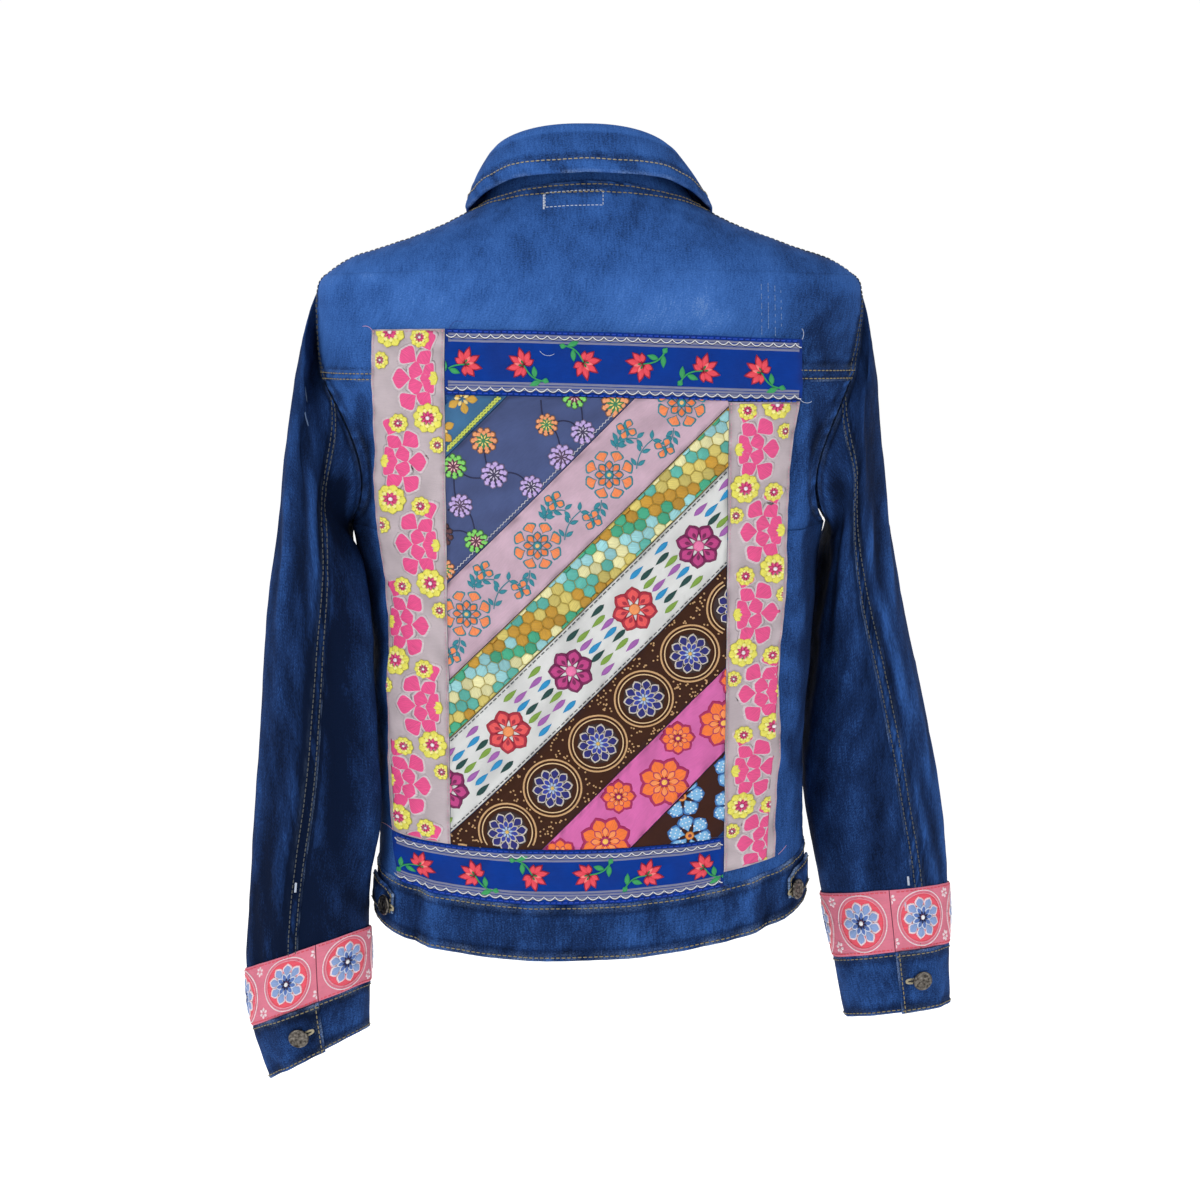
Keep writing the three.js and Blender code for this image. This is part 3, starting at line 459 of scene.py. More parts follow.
def collar_surface(degrees, way, lift=0.0):
    reach = COLLAR_END - 0.5
    held = np.clip(degrees, -reach, reach)
    low, high = np.maximum(0, way - 0.05), np.minimum(3, way + 0.05)
    around = collar_point(held + 0.5, way) - collar_point(held - 0.5, way)
    over = collar_point(degrees, high) - collar_point(degrees, low)
    normal = unit(np.cross(over, around))
    return collar_point(degrees, way) + normal * lift, normal


class Grid:
    """A grid of points on a piece of cloth with its outward directions, and the lengths along the cloth.

    start and end are distances from the edges where across is 0 and 1, and bottom and top those for along.
    """

    def __init__(self, points, normals):
        self.points, self.normals = points, normals
        across = np.linalg.norm(np.diff(points, axis=1), axis=2)
        along = np.linalg.norm(np.diff(points, axis=0), axis=2)
        self.start = np.concatenate([np.zeros((len(points), 1)), np.cumsum(across, axis=1)], axis=1)
        self.bottom = np.concatenate([np.zeros((1, points.shape[1])), np.cumsum(along, axis=0)], axis=0)
        self.end = self.start[:, -1:] - self.start
        self.top = self.bottom[-1:, :] - self.bottom
        self.height = np.zeros(points.shape[:2])
        self.fade = np.zeros(points.shape[:2])
        self.wear = np.zeros(points.shape[:2])

    @property
    def outer(self):
        return self.points + self.normals * self.height[..., None]

    def run(self, edge):
        """The length along an edge."""
        return self.bottom if edge in ("start", "end") else self.start

    def line(self, edge, offset):
        """The outer face's points and directions at an even distance in from an edge."""
        distance, points, normals = getattr(self, edge), self.outer, self.normals
        if edge in ("start", "end"):
            distance, points, normals = distance.T, points.transpose(1, 0, 2), normals.transpose(1, 0, 2)
        if edge in ("end", "top"):
            distance, points, normals = distance[::-1], points[::-1], normals[::-1]
        steps = np.arange(len(distance))
        place = np.array([np.interp(offset, column, steps) for column in distance.T])
        low = np.clip(place.astype(int), 0, len(steps) - 2)
        share = (place - low)[:, None]
        column = np.arange(distance.shape[1])
        at = [mix(field[low, column], field[low + 1, column], share) for field in (points, normals)]
        return at[0], unit(at[1])


def spaced(length, pitch=PITCH):
    """Shares from 0 to 1: close rows at both ends, an even pitch near them and a wider one between."""
    rim = np.array([0, 0.45, 1.3])
    within, inner = length - 2 * EDGE_ZONE, length - 5
    if within < 3 * pitch:
        inside = np.linspace(0, 1, max(3, round(length / pitch)))[1:-1] * inner + 2.5
    else:
        side = np.linspace(2.5, EDGE_ZONE, round(EDGE_ZONE / pitch))
        middle = np.linspace(EDGE_ZONE, length - EDGE_ZONE, 1 + round(within / (pitch * WIDENING)))[1:-1]
        inside = np.concatenate([side, middle, length - side[::-1]])
    return np.concatenate([rim, inside, length - rim[::-1]]) / length


def even_shares(points, pitch=PITCH):
    """The places along a path, as shares of its own parameter, that lie an even length apart."""
    steps = np.linalg.norm(np.diff(points, axis=0), axis=-1)
    if steps.ndim > 1:
        steps = steps.max(axis=1)
    reach = np.concatenate([[0], np.cumsum(steps)])
    return np.interp(spaced(reach[-1], pitch) * reach[-1], reach, np.linspace(0, 1, len(reach)))


def surface_grid(place, pitch=PITCH):
    """A grid over place(across, along), which gives points and directions, with an even pitch both ways."""
    fine = np.linspace(0, 1, 161)
    checks = np.array([0.0, 0.25, 0.5, 0.75, 1.0])
    down = place(checks[None, :], fine[:, None])[0]
    round_it = place(fine[:, None], checks[None, :])[0]
    along, across = even_shares(down, pitch), even_shares(round_it, pitch)
    points, normals = place(across[None, :], along[:, None])
    return Grid(points, normals)


def body_grid(edges, bottom, top, lift=0.0, pitch=PITCH):
    def place(across, along):
        level = mix(bottom, top, along)
        start, end = edges(level)
        across, start, end, level = np.broadcast_arrays(across, start, end, level)
        return torso(mix(start, end, across), level, lift)

    return surface_grid(place, pitch)


def make_mesh(name, points, faces, fields=None, colours=None, uv=None):
    """A mesh object from points in millimetres. fields, colours and uv are given for each point."""
    mesh = bpy.data.meshes.new(name)
    faces = [face for part in faces for face in part]
    mesh.from_pydata((np.asarray(points) * MM).tolist(), [], faces)
    mesh.shade_smooth()
    for label, values in (fields or {}).items():
        field = mesh.attributes.new(label, "FLOAT", "POINT")
        field.data.foreach_set("value", np.asarray(values, np.float32).ravel())
    if colours is not None:
        rgba = np.concatenate([colours, np.ones((len(colours), 1))], axis=1).astype(np.float32)
        mesh.attributes.new("dye", "FLOAT_COLOR", "POINT").data.foreach_set("color", rgba.ravel())
    if uv is not None:
        corners = np.empty(len(mesh.loops), np.int32)
        mesh.loops.foreach_get("vertex_index", corners)
        layer = mesh.uv_layers.new(name="cloth")
        layer.data.foreach_set("uv", np.asarray(uv, np.float32)[corners].ravel())
    obj = bpy.data.objects.new(name, mesh)
    bpy.context.scene.collection.objects.link(obj)
    return obj


def grid_faces(rows, columns, first=0):
    corner = first + np.arange(rows * columns).reshape(rows, columns)
    quads = np.stack([corner[:-1, :-1], corner[:-1, 1:], corner[1:, 1:], corner[1:, :-1]], -1)
    return quads.reshape(-1, 4)


def shell_faces(rows, columns):
    """Faces of a closed shell: an outer grid, an inner grid after it, and the wall round both."""
    count = rows * columns
    outer = grid_faces(rows, columns)
    inner = grid_faces(rows, columns, count)[:, ::-1]
    corner = np.arange(count).reshape(rows, columns)
    border = np.concatenate([corner[0, :-1], corner[:-1, -1], corner[-1, :0:-1], corner[:0:-1, 0]])
    after = np.roll(border, -1)
    wall = np.stack([border, border + count, after + count, after], -1)
    return [outer.tolist(), inner.tolist(), wall.tolist()]


# A shell is rounded near its edges: how deep, as a share of its thickness, and how far in.
ROUNDING_SHARE, ROUNDING_REACH = 0.42, 1.6


def shell(name, grid, thickness, material, faced=False):
    """A closed thin shell on a grid's outer face. A faced one shows its right side inside too."""
    rows, columns = grid.height.shape
    rim = np.minimum.reduce([grid.start, grid.end, grid.bottom, grid.top])
    rounding = (ROUNDING_SHARE * thickness * (1 - np.clip(rim / ROUNDING_REACH, 0, 1)) ** 2)[..., None]
    outer = grid.outer - grid.normals * rounding
    inner = grid.points - grid.normals * (thickness - rounding)
    from_middle = grid.start - grid.start[:, columns // 2][:, None]
    uv = np.stack([from_middle, grid.bottom], -1).reshape(-1, 2)
    layers = {
        "fade": np.tile(grid.fade.ravel(), 2),
        "wear": np.tile(grid.wear.ravel(), 2),
        "inside": np.repeat([0.0, 0.0 if faced else 1.0], rows * columns),
    }
    points = np.concatenate([outer.reshape(-1, 3), inner.reshape(-1, 3)])
    faces = shell_faces(rows, columns)
    first = faces[0][len(faces[0]) // 2]
    a, b, c = (points[k] for k in first[:3])
    if np.dot(np.cross(b - a, c - a), grid.normals.reshape(-1, 3)[first[0]]) < 0:
        faces = [[face[::-1] for face in part] for part in faces]
    obj = make_mesh(name, points, faces, layers, uv=np.tile(uv, (2, 1)))
    obj.data.materials.append(material)
    return obj


# Shader building.
def add_node(tree, kind, inputs=None, **settings):
    made = tree.nodes.new(kind)
    for key, value in settings.items():
        setattr(made, key, value)
    for key, value in (inputs or {}).items():
        if isinstance(value, bpy.types.NodeSocket):
            tree.links.new(value, made.inputs[key])
        else:
            made.inputs[key].default_value = value
    return made


def calc(tree, operation, a, b=0.0):
    return add_node(tree, "ShaderNodeMath", {0: a, 1: b}, operation=operation).outputs[0]


def blend_colours(tree, share, a, b):
    made = add_node(tree, "ShaderNodeMix", {0: share, 6: a, 7: b}, data_type="RGBA")
    return made.outputs[2]


def linear(red, green, blue):
    """A display colour from 0 to 255, as the linear colour that a shader takes."""
    def one(value):
        value /= 255
        return value / 12.92 if value <= 0.04045 else ((value + 0.055) / 1.055) ** 2.4

    return (one(red), one(green), one(blue), 1.0)


def stretched_noise(tree, coordinates, stretch, scale, detail=2.0):
    factors = {0: coordinates, 1: (*stretch, 1.0)}
    scaled = add_node(tree, "ShaderNodeVectorMath", factors, operation="MULTIPLY")
    inputs = {"Vector": scaled.outputs[0], "Scale": scale, "Detail": detail}
    return add_node(tree, "ShaderNodeTexNoise", inputs).outputs["Fac"]


def new_material(name, roughness, metallic=0.0, specular=0.5):
    material = bpy.data.materials.new(name)
    material.use_nodes = True
    shader = material.node_tree.nodes["Principled BSDF"]
    shader.inputs["Roughness"].default_value = roughness
    shader.inputs["Metallic"].default_value = metallic
    shader.inputs["Specular IOR Level"].default_value = specular
    return material, material.node_tree, shader


def bump(tree, shader, height, distance, strength=1.0):
    made = add_node(tree, "ShaderNodeBump", {"Height": height, "Strength": strength, "Distance": distance})
    tree.links.new(made.outputs[0], shader.inputs["Normal"])


def cloth_coordinates(tree):
    return add_node(tree, "ShaderNodeUVMap", uv_map="cloth").outputs[0]


def carried(tree, name, output="Fac"):
    """A value or a colour that the mesh carries at each of its points."""
    return add_node(tree, "ShaderNodeAttribute", attribute_name=name).outputs[output]


# The dye from unfaded to nearly white, as display colours.
DENIM_TONES = (
    (0.0, (6, 20, 46)),
    (0.25, (24, 48, 92)),
    (0.5, (46, 86, 152)),
    (0.75, (64, 110, 184)),
    (1.0, (112, 146, 196)),
)
WORN_BLUE, WRONG_SIDE = (132, 156, 192), (92, 112, 145)


def denim_material():
    """Indigo twill: faded and darkened by area with painted light and shade, flecked and slubbed, and paler on
    worn ridges and inside.
    """
    material, tree, shader = new_material("denim", 0.95, specular=0.08)
    cloth = cloth_coordinates(tree)
    fade, wear, inside = (carried(tree, name) for name in ("fade", "wear", "inside"))
    slub = stretched_noise(tree, cloth, (1.0, 0.16), 0.6)
    fleck = stretched_noise(tree, cloth, (1.0, 1.0), 0.85, 3.0)
    cloud = stretched_noise(tree, cloth, (1.0, 0.7), 0.05, 3.0)
    axes = add_node(tree, "ShaderNodeSeparateXYZ", {0: cloth})
    diagonal = calc(tree, "ADD", axes.outputs[0], axes.outputs[1])
    twill = calc(tree, "SINE", calc(tree, "MULTIPLY", diagonal, 2 * math.pi / 1.1))
    tone = fade
    swings = ((slub, 0.5, 0.3), (fleck, 0.5, 0.62), (cloud, 0.5, 0.4), (twill, 0.0, 0.02))
    for part, middle, strength in swings:
        swing = calc(tree, "MULTIPLY", calc(tree, "SUBTRACT", part, middle), strength)
        tone = calc(tree, "ADD", tone, swing)
    ramp = add_node(tree, "ShaderNodeValToRGB", {0: tone})
    while len(ramp.color_ramp.elements) < len(DENIM_TONES):
        ramp.color_ramp.elements.new(0.5)
    for element, (place, colour) in zip(ramp.color_ramp.elements, DENIM_TONES):
        element.position = place
        element.color = linear(*colour)
    patchy = add_node(tree, "ShaderNodeMapRange", {0: fleck, 1: 0.38, 2: 0.62, 3: 0.15, 4: 1.25})
    worn = calc(tree, "MULTIPLY", wear, patchy.outputs[0])
    colour = blend_colours(tree, worn, ramp.outputs[0], linear(*WORN_BLUE))
    colour = blend_colours(tree, inside, colour, linear(*WRONG_SIDE))
    tree.links.new(colour, shader.inputs["Base Color"])
    relief = calc(tree, "ADD", calc(tree, "MULTIPLY", twill, 0.12), calc(tree, "MULTIPLY", slub, 0.6))
    relief = calc(tree, "ADD", relief, calc(tree, "MULTIPLY", fleck, 0.5))
    bump(tree, shader, relief, 0.0006)
    return material


def cotton_material(name, colour, mottle=0.12, weave=0.7):
    """Plain woven cotton of one colour, with its weave and a slight mottle, darkened where the carried fade
    holds painted shade.
    """
    material, tree, shader = new_material(name, 0.9, specular=0.12)
    cloth = cloth_coordinates(tree)
    axes = add_node(tree, "ShaderNodeSeparateXYZ", {0: cloth})
    warp = calc(tree, "SINE", calc(tree, "MULTIPLY", axes.outputs[0], 2 * math.pi / weave))
    weft = calc(tree, "SINE", calc(tree, "MULTIPLY", axes.outputs[1], 2 * math.pi / weave))
    cloud = stretched_noise(tree, cloth, (1.0, 1.0), 0.08, 3.0)
    thread = stretched_noise(tree, cloth, (0.2, 1.0), 0.9)
    tone = calc(tree, "ADD", calc(tree, "MULTIPLY", cloud, 0.6), calc(tree, "MULTIPLY", thread, 0.4))
    tone = calc(tree, "ADD", tone, calc(tree, "MULTIPLY", calc(tree, "MULTIPLY", warp, weft), 0.05))
    channels = linear(*colour)[:3]
    dark = tuple(channel * (1 - 2 * mottle) for channel in channels) + (1.0,)
    light = tuple(min(1, channel * (1 + 2 * mottle)) for channel in channels) + (1.0,)
    dyed = blend_colours(tree, tone, dark, light)
    # Painted shade: where the carried fade is below zero, the cotton is darkened towards near black.
    shade = calc(tree, "MULTIPLY", carried(tree, "fade"), -1.0)
    tree.links.new(blend_colours(tree, shade, dyed, (0.03, 0.02, 0.03, 1.0)), shader.inputs["Base Color"])
    bump(tree, shader, calc(tree, "ADD", calc(tree, "MULTIPLY", warp, weft), thread), 0.0003, 0.8)
    return material


def thread_material(name, gloss=0.55):
    """Dyed thread: each point's own colour, with fine strands along the stitch."""
    material, tree, shader = new_material(name, gloss, specular=0.3)
    cloth = cloth_coordinates(tree)
    dye = carried(tree, "dye", "Color")
    strands = stretched_noise(tree, cloth, (2.2, 0.12), 1.0)
    shadow = calc(tree, "MULTIPLY", calc(tree, "SUBTRACT", 0.66, strands), 0.8)
    tree.links.new(blend_colours(tree, shadow, dye, (0.02, 0.02, 0.03, 1.0)), shader.inputs["Base Color"])
    bump(tree, shader, strands, 0.0005)
    return material


def metal_material():
    """Dark antique metal, scuffed lighter in patches."""
    material, tree, shader = new_material("antique_metal", 0.38, metallic=1.0)
    where = add_node(tree, "ShaderNodeTexCoord").outputs["Object"]
    inputs = {"Vector": where, "Scale": 420.0, "Detail": 4.0}
    scuff = add_node(tree, "ShaderNodeTexNoise", inputs).outputs["Fac"]
    spread = add_node(tree, "ShaderNodeMapRange", {0: scuff, 1: 0.35, 2: 0.7})
    colour = blend_colours(tree, spread.outputs[0], linear(52, 48, 46), linear(132, 126, 118))
    tree.links.new(colour, shader.inputs["Base Color"])
    bump(tree, shader, scuff, 0.0003, 0.5)
    return material


DENIM_CLOTH = denim_material()
THREAD = thread_material("thread")
METAL = metal_material()

# How the denim has faded, and where light and shade are painted into it: the yoke at +x is painted lighter as
# lit and the yoke at -x darker as shaded, the sides under the armholes carry painted shade, and the other areas
# are fading. Each area has a middle (x, z seen from behind), two radii and an amount.
PLAIN_FADE = 0.46
BACK_FADING_AND_SHADE = [
    [0, -40, 120, 40, 0.04],
    [135, -90, 70, 60, 0.16],
    [60, -85, 60, 26, 0.1],
    [-70, -78, 60, 26, 0.3],
    [-135, -70, 14, 30, 0.1],
    [-165, -90, 40, 60, -0.14],
    [-185, -150, 30, 60, -0.12],
    [178, -300, 20, 170, -0.42],
    [-172, -330, 24, 170, -0.34],
    [0, -545, 170, 24, -0.14],
    [-60, -545, 60, 16, 0.12],
    [150, -545, 30, 30, -0.08],
    [-150, -545, 30, 30, -0.14],
]
# The front's areas: lighter panels and a darker hem, with painted shade down the sides.
FRONT_FADING_AND_SHADE = [
    [100, -240, 60, 120, 0.18],
    [-100, -240, 60, 120, 0.18],
    [0, -545, 170, 24, -0.1],
    [176, -300, 22, 160, -0.2],
    [-176, -300, 22, 160, -0.2],
]


def area_fade_and_shade(areas, x, z):
    fade = PLAIN_FADE
    for middle_x, middle_z, radius_x, radius_z, amount in areas:
        fade = fade + amount * np.exp(-(((x - middle_x) / radius_x) ** 2) - ((z - middle_z) / radius_z) ** 2)
    return fade


# How wide a seam's step down is, and how far apart the puckers on it, those beside it and its worn spots lie.
SEAM_STEP, PUCKER_LENGTH, BESIDE_LENGTH, WORN_LENGTH = 3.2, 9, 12, 22


def seam(grid, edge, width=11.0, rise=0.9, rope=0.35, wear=0.55, seed=1):
    """A felled or folded edge: a raised band that puckers, worn pale along its ridge, with a painted shadow
    beside it and painted light and shade on its puckers.
    """
    distance, run = getattr(grid, edge), grid.run(edge)
    plateau = smooth((width + SEAM_STEP / 2 - distance) / SEAM_STEP)
    slanted = run + 0.5 * distance
    pull = ripple(slanted, 0 * run, PUCKER_LENGTH, seed) * bell(distance - width * 0.5, width * 0.8)
    grid.height += rise * plateau + rope * pull
    beside = bell(distance - width - 5, 6)
    beyond = ripple(slanted, 0 * run, BESIDE_LENGTH, seed + 20) * beside * (1 - plateau)
    grid.height += 0.5 * rope * beyond
    uneven = np.clip(0.5 + 0.9 * ripple(run, distance, WORN_LENGTH, seed + 40), 0, 1.5)
    ridge = bell(distance - 0.3, 1.5) + 0.3 * bell(distance - width, 1.6)
    grid.wear += wear * uneven * ridge
    # The puckers are paler on top and darker beyond, partly real roping wear and partly painted light and
    # shade; the dark line beside the band is a painted shadow.
    grid.fade += (0.16 * pull + 0.02) * plateau + 0.07 * beyond - 0.16 * bell(distance - width - 2.2, 2.4)


def tube_faces(rings, sides):
    """The four-sided faces between rings of points, each ring with the same number of sides."""
    faces = []
    for r in range(rings - 1):
        for k in range(sides):
            after = (k + 1) % sides
            low, high = r * sides, (r + 1) * sides
            faces.append([low + k, low + after, high + after, high + k])
    return faces


class Thread:
    """Stitches, each of its own colour, gathered into one mesh."""

    SIDES = 5
    PROFILE = np.array([[-0.5, 0.12], [-0.3, 0.9], [0.3, 0.9], [0.5, 0.12]])

    def __init__(self):
        self.points, self.colours, self.uv = [], [], []

    def row(self, path, normals, colour, pitch=4.1, length=3.3, radius=0.5, skip=0.0, sink=0.15):
        """Even stitches along a path, each a small pointed capsule that lies on the cloth."""
        steps = np.linalg.norm(np.diff(path, axis=0), axis=1)
        reach = np.concatenate([[0], np.cumsum(steps)])
        count = max(1, int(reach[-1] / pitch))
        middle = (np.arange(count) + 0.5) * reach[-1] / count
        if skip:
            middle = middle[np.random.default_rng(count).uniform(size=count) > skip]

        def at(places, values):
            return np.stack([np.interp(places, reach, values[:, k]) for k in range(3)], -1)

        start, end, up = at(middle - 1, path), at(middle + 1, path), unit(at(middle, normals))
        centre = (start + end) / 2 + up * (radius - sink)
        self.capsules(centre, unit(end - start), up, np.full(len(centre), length), radius, colour)

    def capsules(self, centre, ahead, up, length, radius, colour):
        side = unit(np.cross(ahead, up))
        up = np.cross(side, ahead)
        angle = np.arange(self.SIDES) * 2 * math.pi / self.SIDES
        along, wide = self.PROFILE[:, 0], self.PROFILE[:, 1] * radius
        ring = np.cos(angle)[:, None, None] * side[None] + np.sin(angle)[:, None, None] * up[None]
        stretch = along[:, None, None, None] * (ahead * length[:, None])[None, None]
        cap = centre[None, None] + stretch + wide[:, None, None, None] * ring[None]
        points = cap.transpose(2, 0, 1, 3).reshape(-1, 3)
        self.points.append(points)
        self.colours.append(np.tile(linear(*colour)[:3], (len(points), 1)))
        lie = np.stack(np.broadcast_arrays(angle[None, :] * radius, along[:, None] * 3), -1).reshape(-1, 2)
        self.uv.append(np.tile(lie, (len(centre), 1)))

    def mesh(self, name):
        points = np.concatenate(self.points)
        rings = len(self.PROFILE)
        template = np.array(tube_faces(rings, self.SIDES))
        size = rings * self.SIDES
        first = np.arange(0, len(points), size)
        walls = (template[None] + first[:, None, None]).reshape(-1, 4)
        start = first[:, None] + np.arange(self.SIDES)[None, ::-1]
        end = first[:, None] + (rings - 1) * self.SIDES + np.arange(self.SIDES)[None]
        faces = [walls.tolist(), start.tolist(), end.tolist()]
        obj = make_mesh(name, points, faces, colours=np.concatenate(self.colours), uv=np.concatenate(self.uv))
        obj.data.materials.append(THREAD)
        return obj


OLIVE = (150, 138, 104)
TAN_THREAD = (176, 166, 138)
DARK_OLIVE = (84, 88, 88)

topstitch = Thread()
pieces = {}

CREASE_REACH = 12
# A row of stitches sinks into the cloth: how wide and deep, and how much darker it is there.
STITCH_WIDTH, STITCH_DEPTH, STITCH_SHADE = 1.8, 0.2, 0.12


def crease_shade_and_wear(grid, rows=4, strength=0.065, most=0.17):
    """Troughs darker and ridges paler, by how far the cloth bends over a short reach: painted shade in the
    troughs and a painted highlight on the ridges, partly also the real fading of worn ridges.
    """
    shade = np.zeros(grid.points.shape[:2])
    for axis in (0, 1):
        count = grid.points.shape[axis]
        if count <= 2 * rows + 4:
            continue
        ahead, behind = np.roll(grid.points, -rows, axis), np.roll(grid.points, rows, axis)
        way_on = np.linalg.norm(ahead - grid.points, axis=-1, keepdims=True)
        way_back = np.linalg.norm(behind - grid.points, axis=-1, keepdims=True)
        chord = (ahead * way_back + behind * way_on) / (way_on + way_back)
        ridge = np.sum((grid.points - chord) * grid.normals, axis=-1)
        ridge = ridge * CREASE_REACH ** 2 / np.maximum(way_on * way_back, 1)[..., 0]
        within = (np.arange(count) >= rows + 2) & (np.arange(count) < count - rows - 2)
        within = within[:, None] if axis == 0 else within[None, :]
        middle = np.median(ridge[np.broadcast_to(within, ridge.shape)])
        shade += np.where(within, ridge - middle, 0)
    return np.clip(strength * shade, -most, most)


def denim_piece(node, grid, thickness, seams=(), rows=(), areas=BACK_FADING_AND_SHADE, tone_shift=0.0, faced=False):
    """One cloth of denim: its shell with seams, and the stitch rows on it as (edge, offset, colour)."""
    x, z = grid.points[..., 0], grid.points[..., 2]
    # The fade attribute carries the dye's fading together with painted light and shade: the areas' lit and
    # shaded patches, the tone shift, and painted shade in the creases.
    grid.fade += area_fade_and_shade(areas, x, z) + tone_shift + crease_shade_and_wear(grid)
    for k, (edge, options) in enumerate(seams):
        seam(grid, edge, seed=len(pieces) * 7 + k, **options)
    for edge, offset, _ in rows:
        sunk = bell(getattr(grid, edge) - offset, STITCH_WIDTH)
        grid.height -= STITCH_DEPTH * sunk
        grid.fade -= STITCH_SHADE * sunk
    pieces[node] = shell(f"{node}_cloth", grid, thickness, DENIM_CLOTH, faced)
    for edge, offset, colour in rows:
        topstitch.row(*grid.line(edge, offset), colour=colour)


# Body: back panel, yoke, fronts, placket and waistband.
PLACKET_HALF = 20
UNDERLAP = 15
YOKE_FACE = 0.35
BAND_FACE = BAND_PROUD + 0.3
FULL_TURN = 2 * math.pi
BAND_SEAM = math.radians(84)


def back_edges(level):
    return -side_edge(level, False, -1), side_edge(level, False, 1)


def front_x(x, level):
    return angle_at(x, level, True) % FULL_TURN


def left_front_edges(level):
    return side_edge(level, True, 1), front_x(-UNDERLAP, level)


def right_front_edges(level):
    return FULL_TURN - side_edge(level, True, -1), front_x(-PLACKET_HALF - SEAM_GAP, level)


FOLDED = {"width": 12.0, "rise": 0.75, "rope": 0.4, "wear": 0.4}
ARMHOLE_SEAM = {"width": 9.0, "rise": 0.7, "rope": 0.3, "wear": 0.2}
PLAIN_EDGE = {"width": 3.0, "rise": 0.3, "rope": 0.25, "wear": 0.2}
denim_piece(
    "back_panel", body_grid(back_edges, BAND_LEVEL - 1, YOKE_LEVEL + 0.5), DENIM,
    seams=[("start", ARMHOLE_SEAM), ("end", ARMHOLE_SEAM)],
)
denim_piece(
    "back_yoke", body_grid(back_edges, YOKE_LEVEL - 1.5, NECK_LEVEL, YOKE_FACE), DENIM,
    seams=[("bottom", FOLDED), ("start", ARMHOLE_SEAM), ("end", ARMHOLE_SEAM), ("top", PLAIN_EDGE)],
    rows=[
        ("bottom", 2.5, OLIVE), ("bottom", 9, OLIVE),
        ("start", 2.5, DARK_OLIVE), ("start", 8.5, DARK_OLIVE),
        ("end", 2.5, DARK_OLIVE), ("end", 8.5, DARK_OLIVE),
        ("top", 3, OLIVE), ("top", 9, OLIVE),
    ],
)
for side, edges in (("left", left_front_edges), ("right", right_front_edges)):
    denim_piece(
        f"front_{side}", body_grid(edges, BAND_LEVEL - 1, FRONT_YOKE_LEVEL + 0.5), DENIM,
        seams=[("start", ARMHOLE_SEAM)], areas=FRONT_FADING_AND_SHADE,
    )
    denim_piece(
        f"front_yoke_{side}", body_grid(edges, FRONT_YOKE_LEVEL - 1.5, NECK_LEVEL, YOKE_FACE), DENIM,
        seams=[("bottom", FOLDED), ("start", ARMHOLE_SEAM)],
        rows=[("bottom", 2.5, OLIVE), ("bottom", 9, OLIVE), ("start", 2.5, DARK_OLIVE)], areas=FRONT_FADING_AND_SHADE,
    )


def placket_edges(level):
    return front_x(PLACKET_HALF, level), front_x(-PLACKET_HALF, level)


denim_piece(
    "button_placket", body_grid(placket_edges, BAND_LEVEL - 1, NECK_LEVEL, LIFT_ON_CLOTH + DENIM), DENIM,
    seams=[("start", PLAIN_EDGE), ("end", PLAIN_EDGE)],
    rows=[("start", 3, OLIVE), ("end", 3, OLIVE), ("end", 34, OLIVE)], areas=FRONT_FADING_AND_SHADE,
)
BAND_GAP = 0.002
LEFT_BAND_START, RIGHT_BAND_START = BAND_SEAM + BAND_GAP, FULL_TURN - BAND_SEAM - BAND_GAP
BAND_SPANS = {
    "waistband_back": lambda level: (-BAND_SEAM + 0 * level, BAND_SEAM + 0 * level),
    "waistband_left": lambda level: (LEFT_BAND_START + 0 * level, front_x(PLACKET_HALF + SEAM_GAP, level)),
    "waistband_right": lambda level: (RIGHT_BAND_START + 0 * level, front_x(PLACKET_HALF, level)),
}
BAND_EDGE = {"width": 5.0, "rise": 0.4, "rope": 0.7, "wear": 0.5}
for node, edges in BAND_SPANS.items():
    denim_piece(
        node, body_grid(edges, HEM_LEVEL, BAND_LEVEL + 2.5, BAND_FACE), DOUBLED,
        seams=[("top", BAND_EDGE), ("bottom", BAND_EDGE)],
        rows=[("top", 3, OLIVE), ("bottom", 3, OLIVE)], tone_shift=-0.08, faced=True,
    )

FRONT_BUTTON_LEVELS = [-70, -165, -260, -355, -450]

# Side tabs: pointed straps buttoned on the waistband.
TAB_FROM, TAB_TO, TAB_LEVEL, TAB_HALF_HEIGHT = 78, 57, -522, 12
TAB_POINT_SHARE, TAB_NARROWING, TAB_THICKNESS = 0.25, 0.35, 1.8
TAB_BUTTON_SHARE, TAB_BUTTON_LEVEL = 0.84, -525
TAB_FACE = BAND_PROUD + LIFT_ON_CLOTH + TAB_THICKNESS + 0.8
for side, sign in (("left", 1), ("right", -1)):
    def on_tab(across, along, sign=sign):
        narrowing = 1 - TAB_NARROWING * smooth((across - 1 + TAB_POINT_SHARE) / TAB_POINT_SHARE)
        level = TAB_LEVEL + (2 * along - 1) * TAB_HALF_HEIGHT * narrowing
        angle = sign * np.radians(mix(TAB_FROM, TAB_TO, across + 0 * along))
        return torso(angle, level, TAB_FACE)

    tab_edge = {"width": 2.5, "rise": 0.3, "rope": 0.2, "wear": 0.8}
    denim_piece(
        f"side_tab_{side}", surface_grid(on_tab, 1.6), TAB_THICKNESS + 0.6,
        seams=[(edge, tab_edge) for edge in ("start", "end", "bottom", "top")],
        rows=[(edge, 2.6, OLIVE) for edge in ("end", "bottom", "top")], faced=True,
    )

# Collar: a stand, and a fold with its fall.
STAND_START = -0.06


def collar_grid(low, high):
    """The collar's right side, which faces the neck on the stand and outwards on the fall."""
    grid = surface_grid(lambda across, along: collar_surface(
        mix(-COLLAR_END, COLLAR_END, across + 0 * along), mix(low, high, along + 0 * across),
    ), 2.6)
    return Grid(grid.points - grid.normals * DOUBLED, -grid.normals)


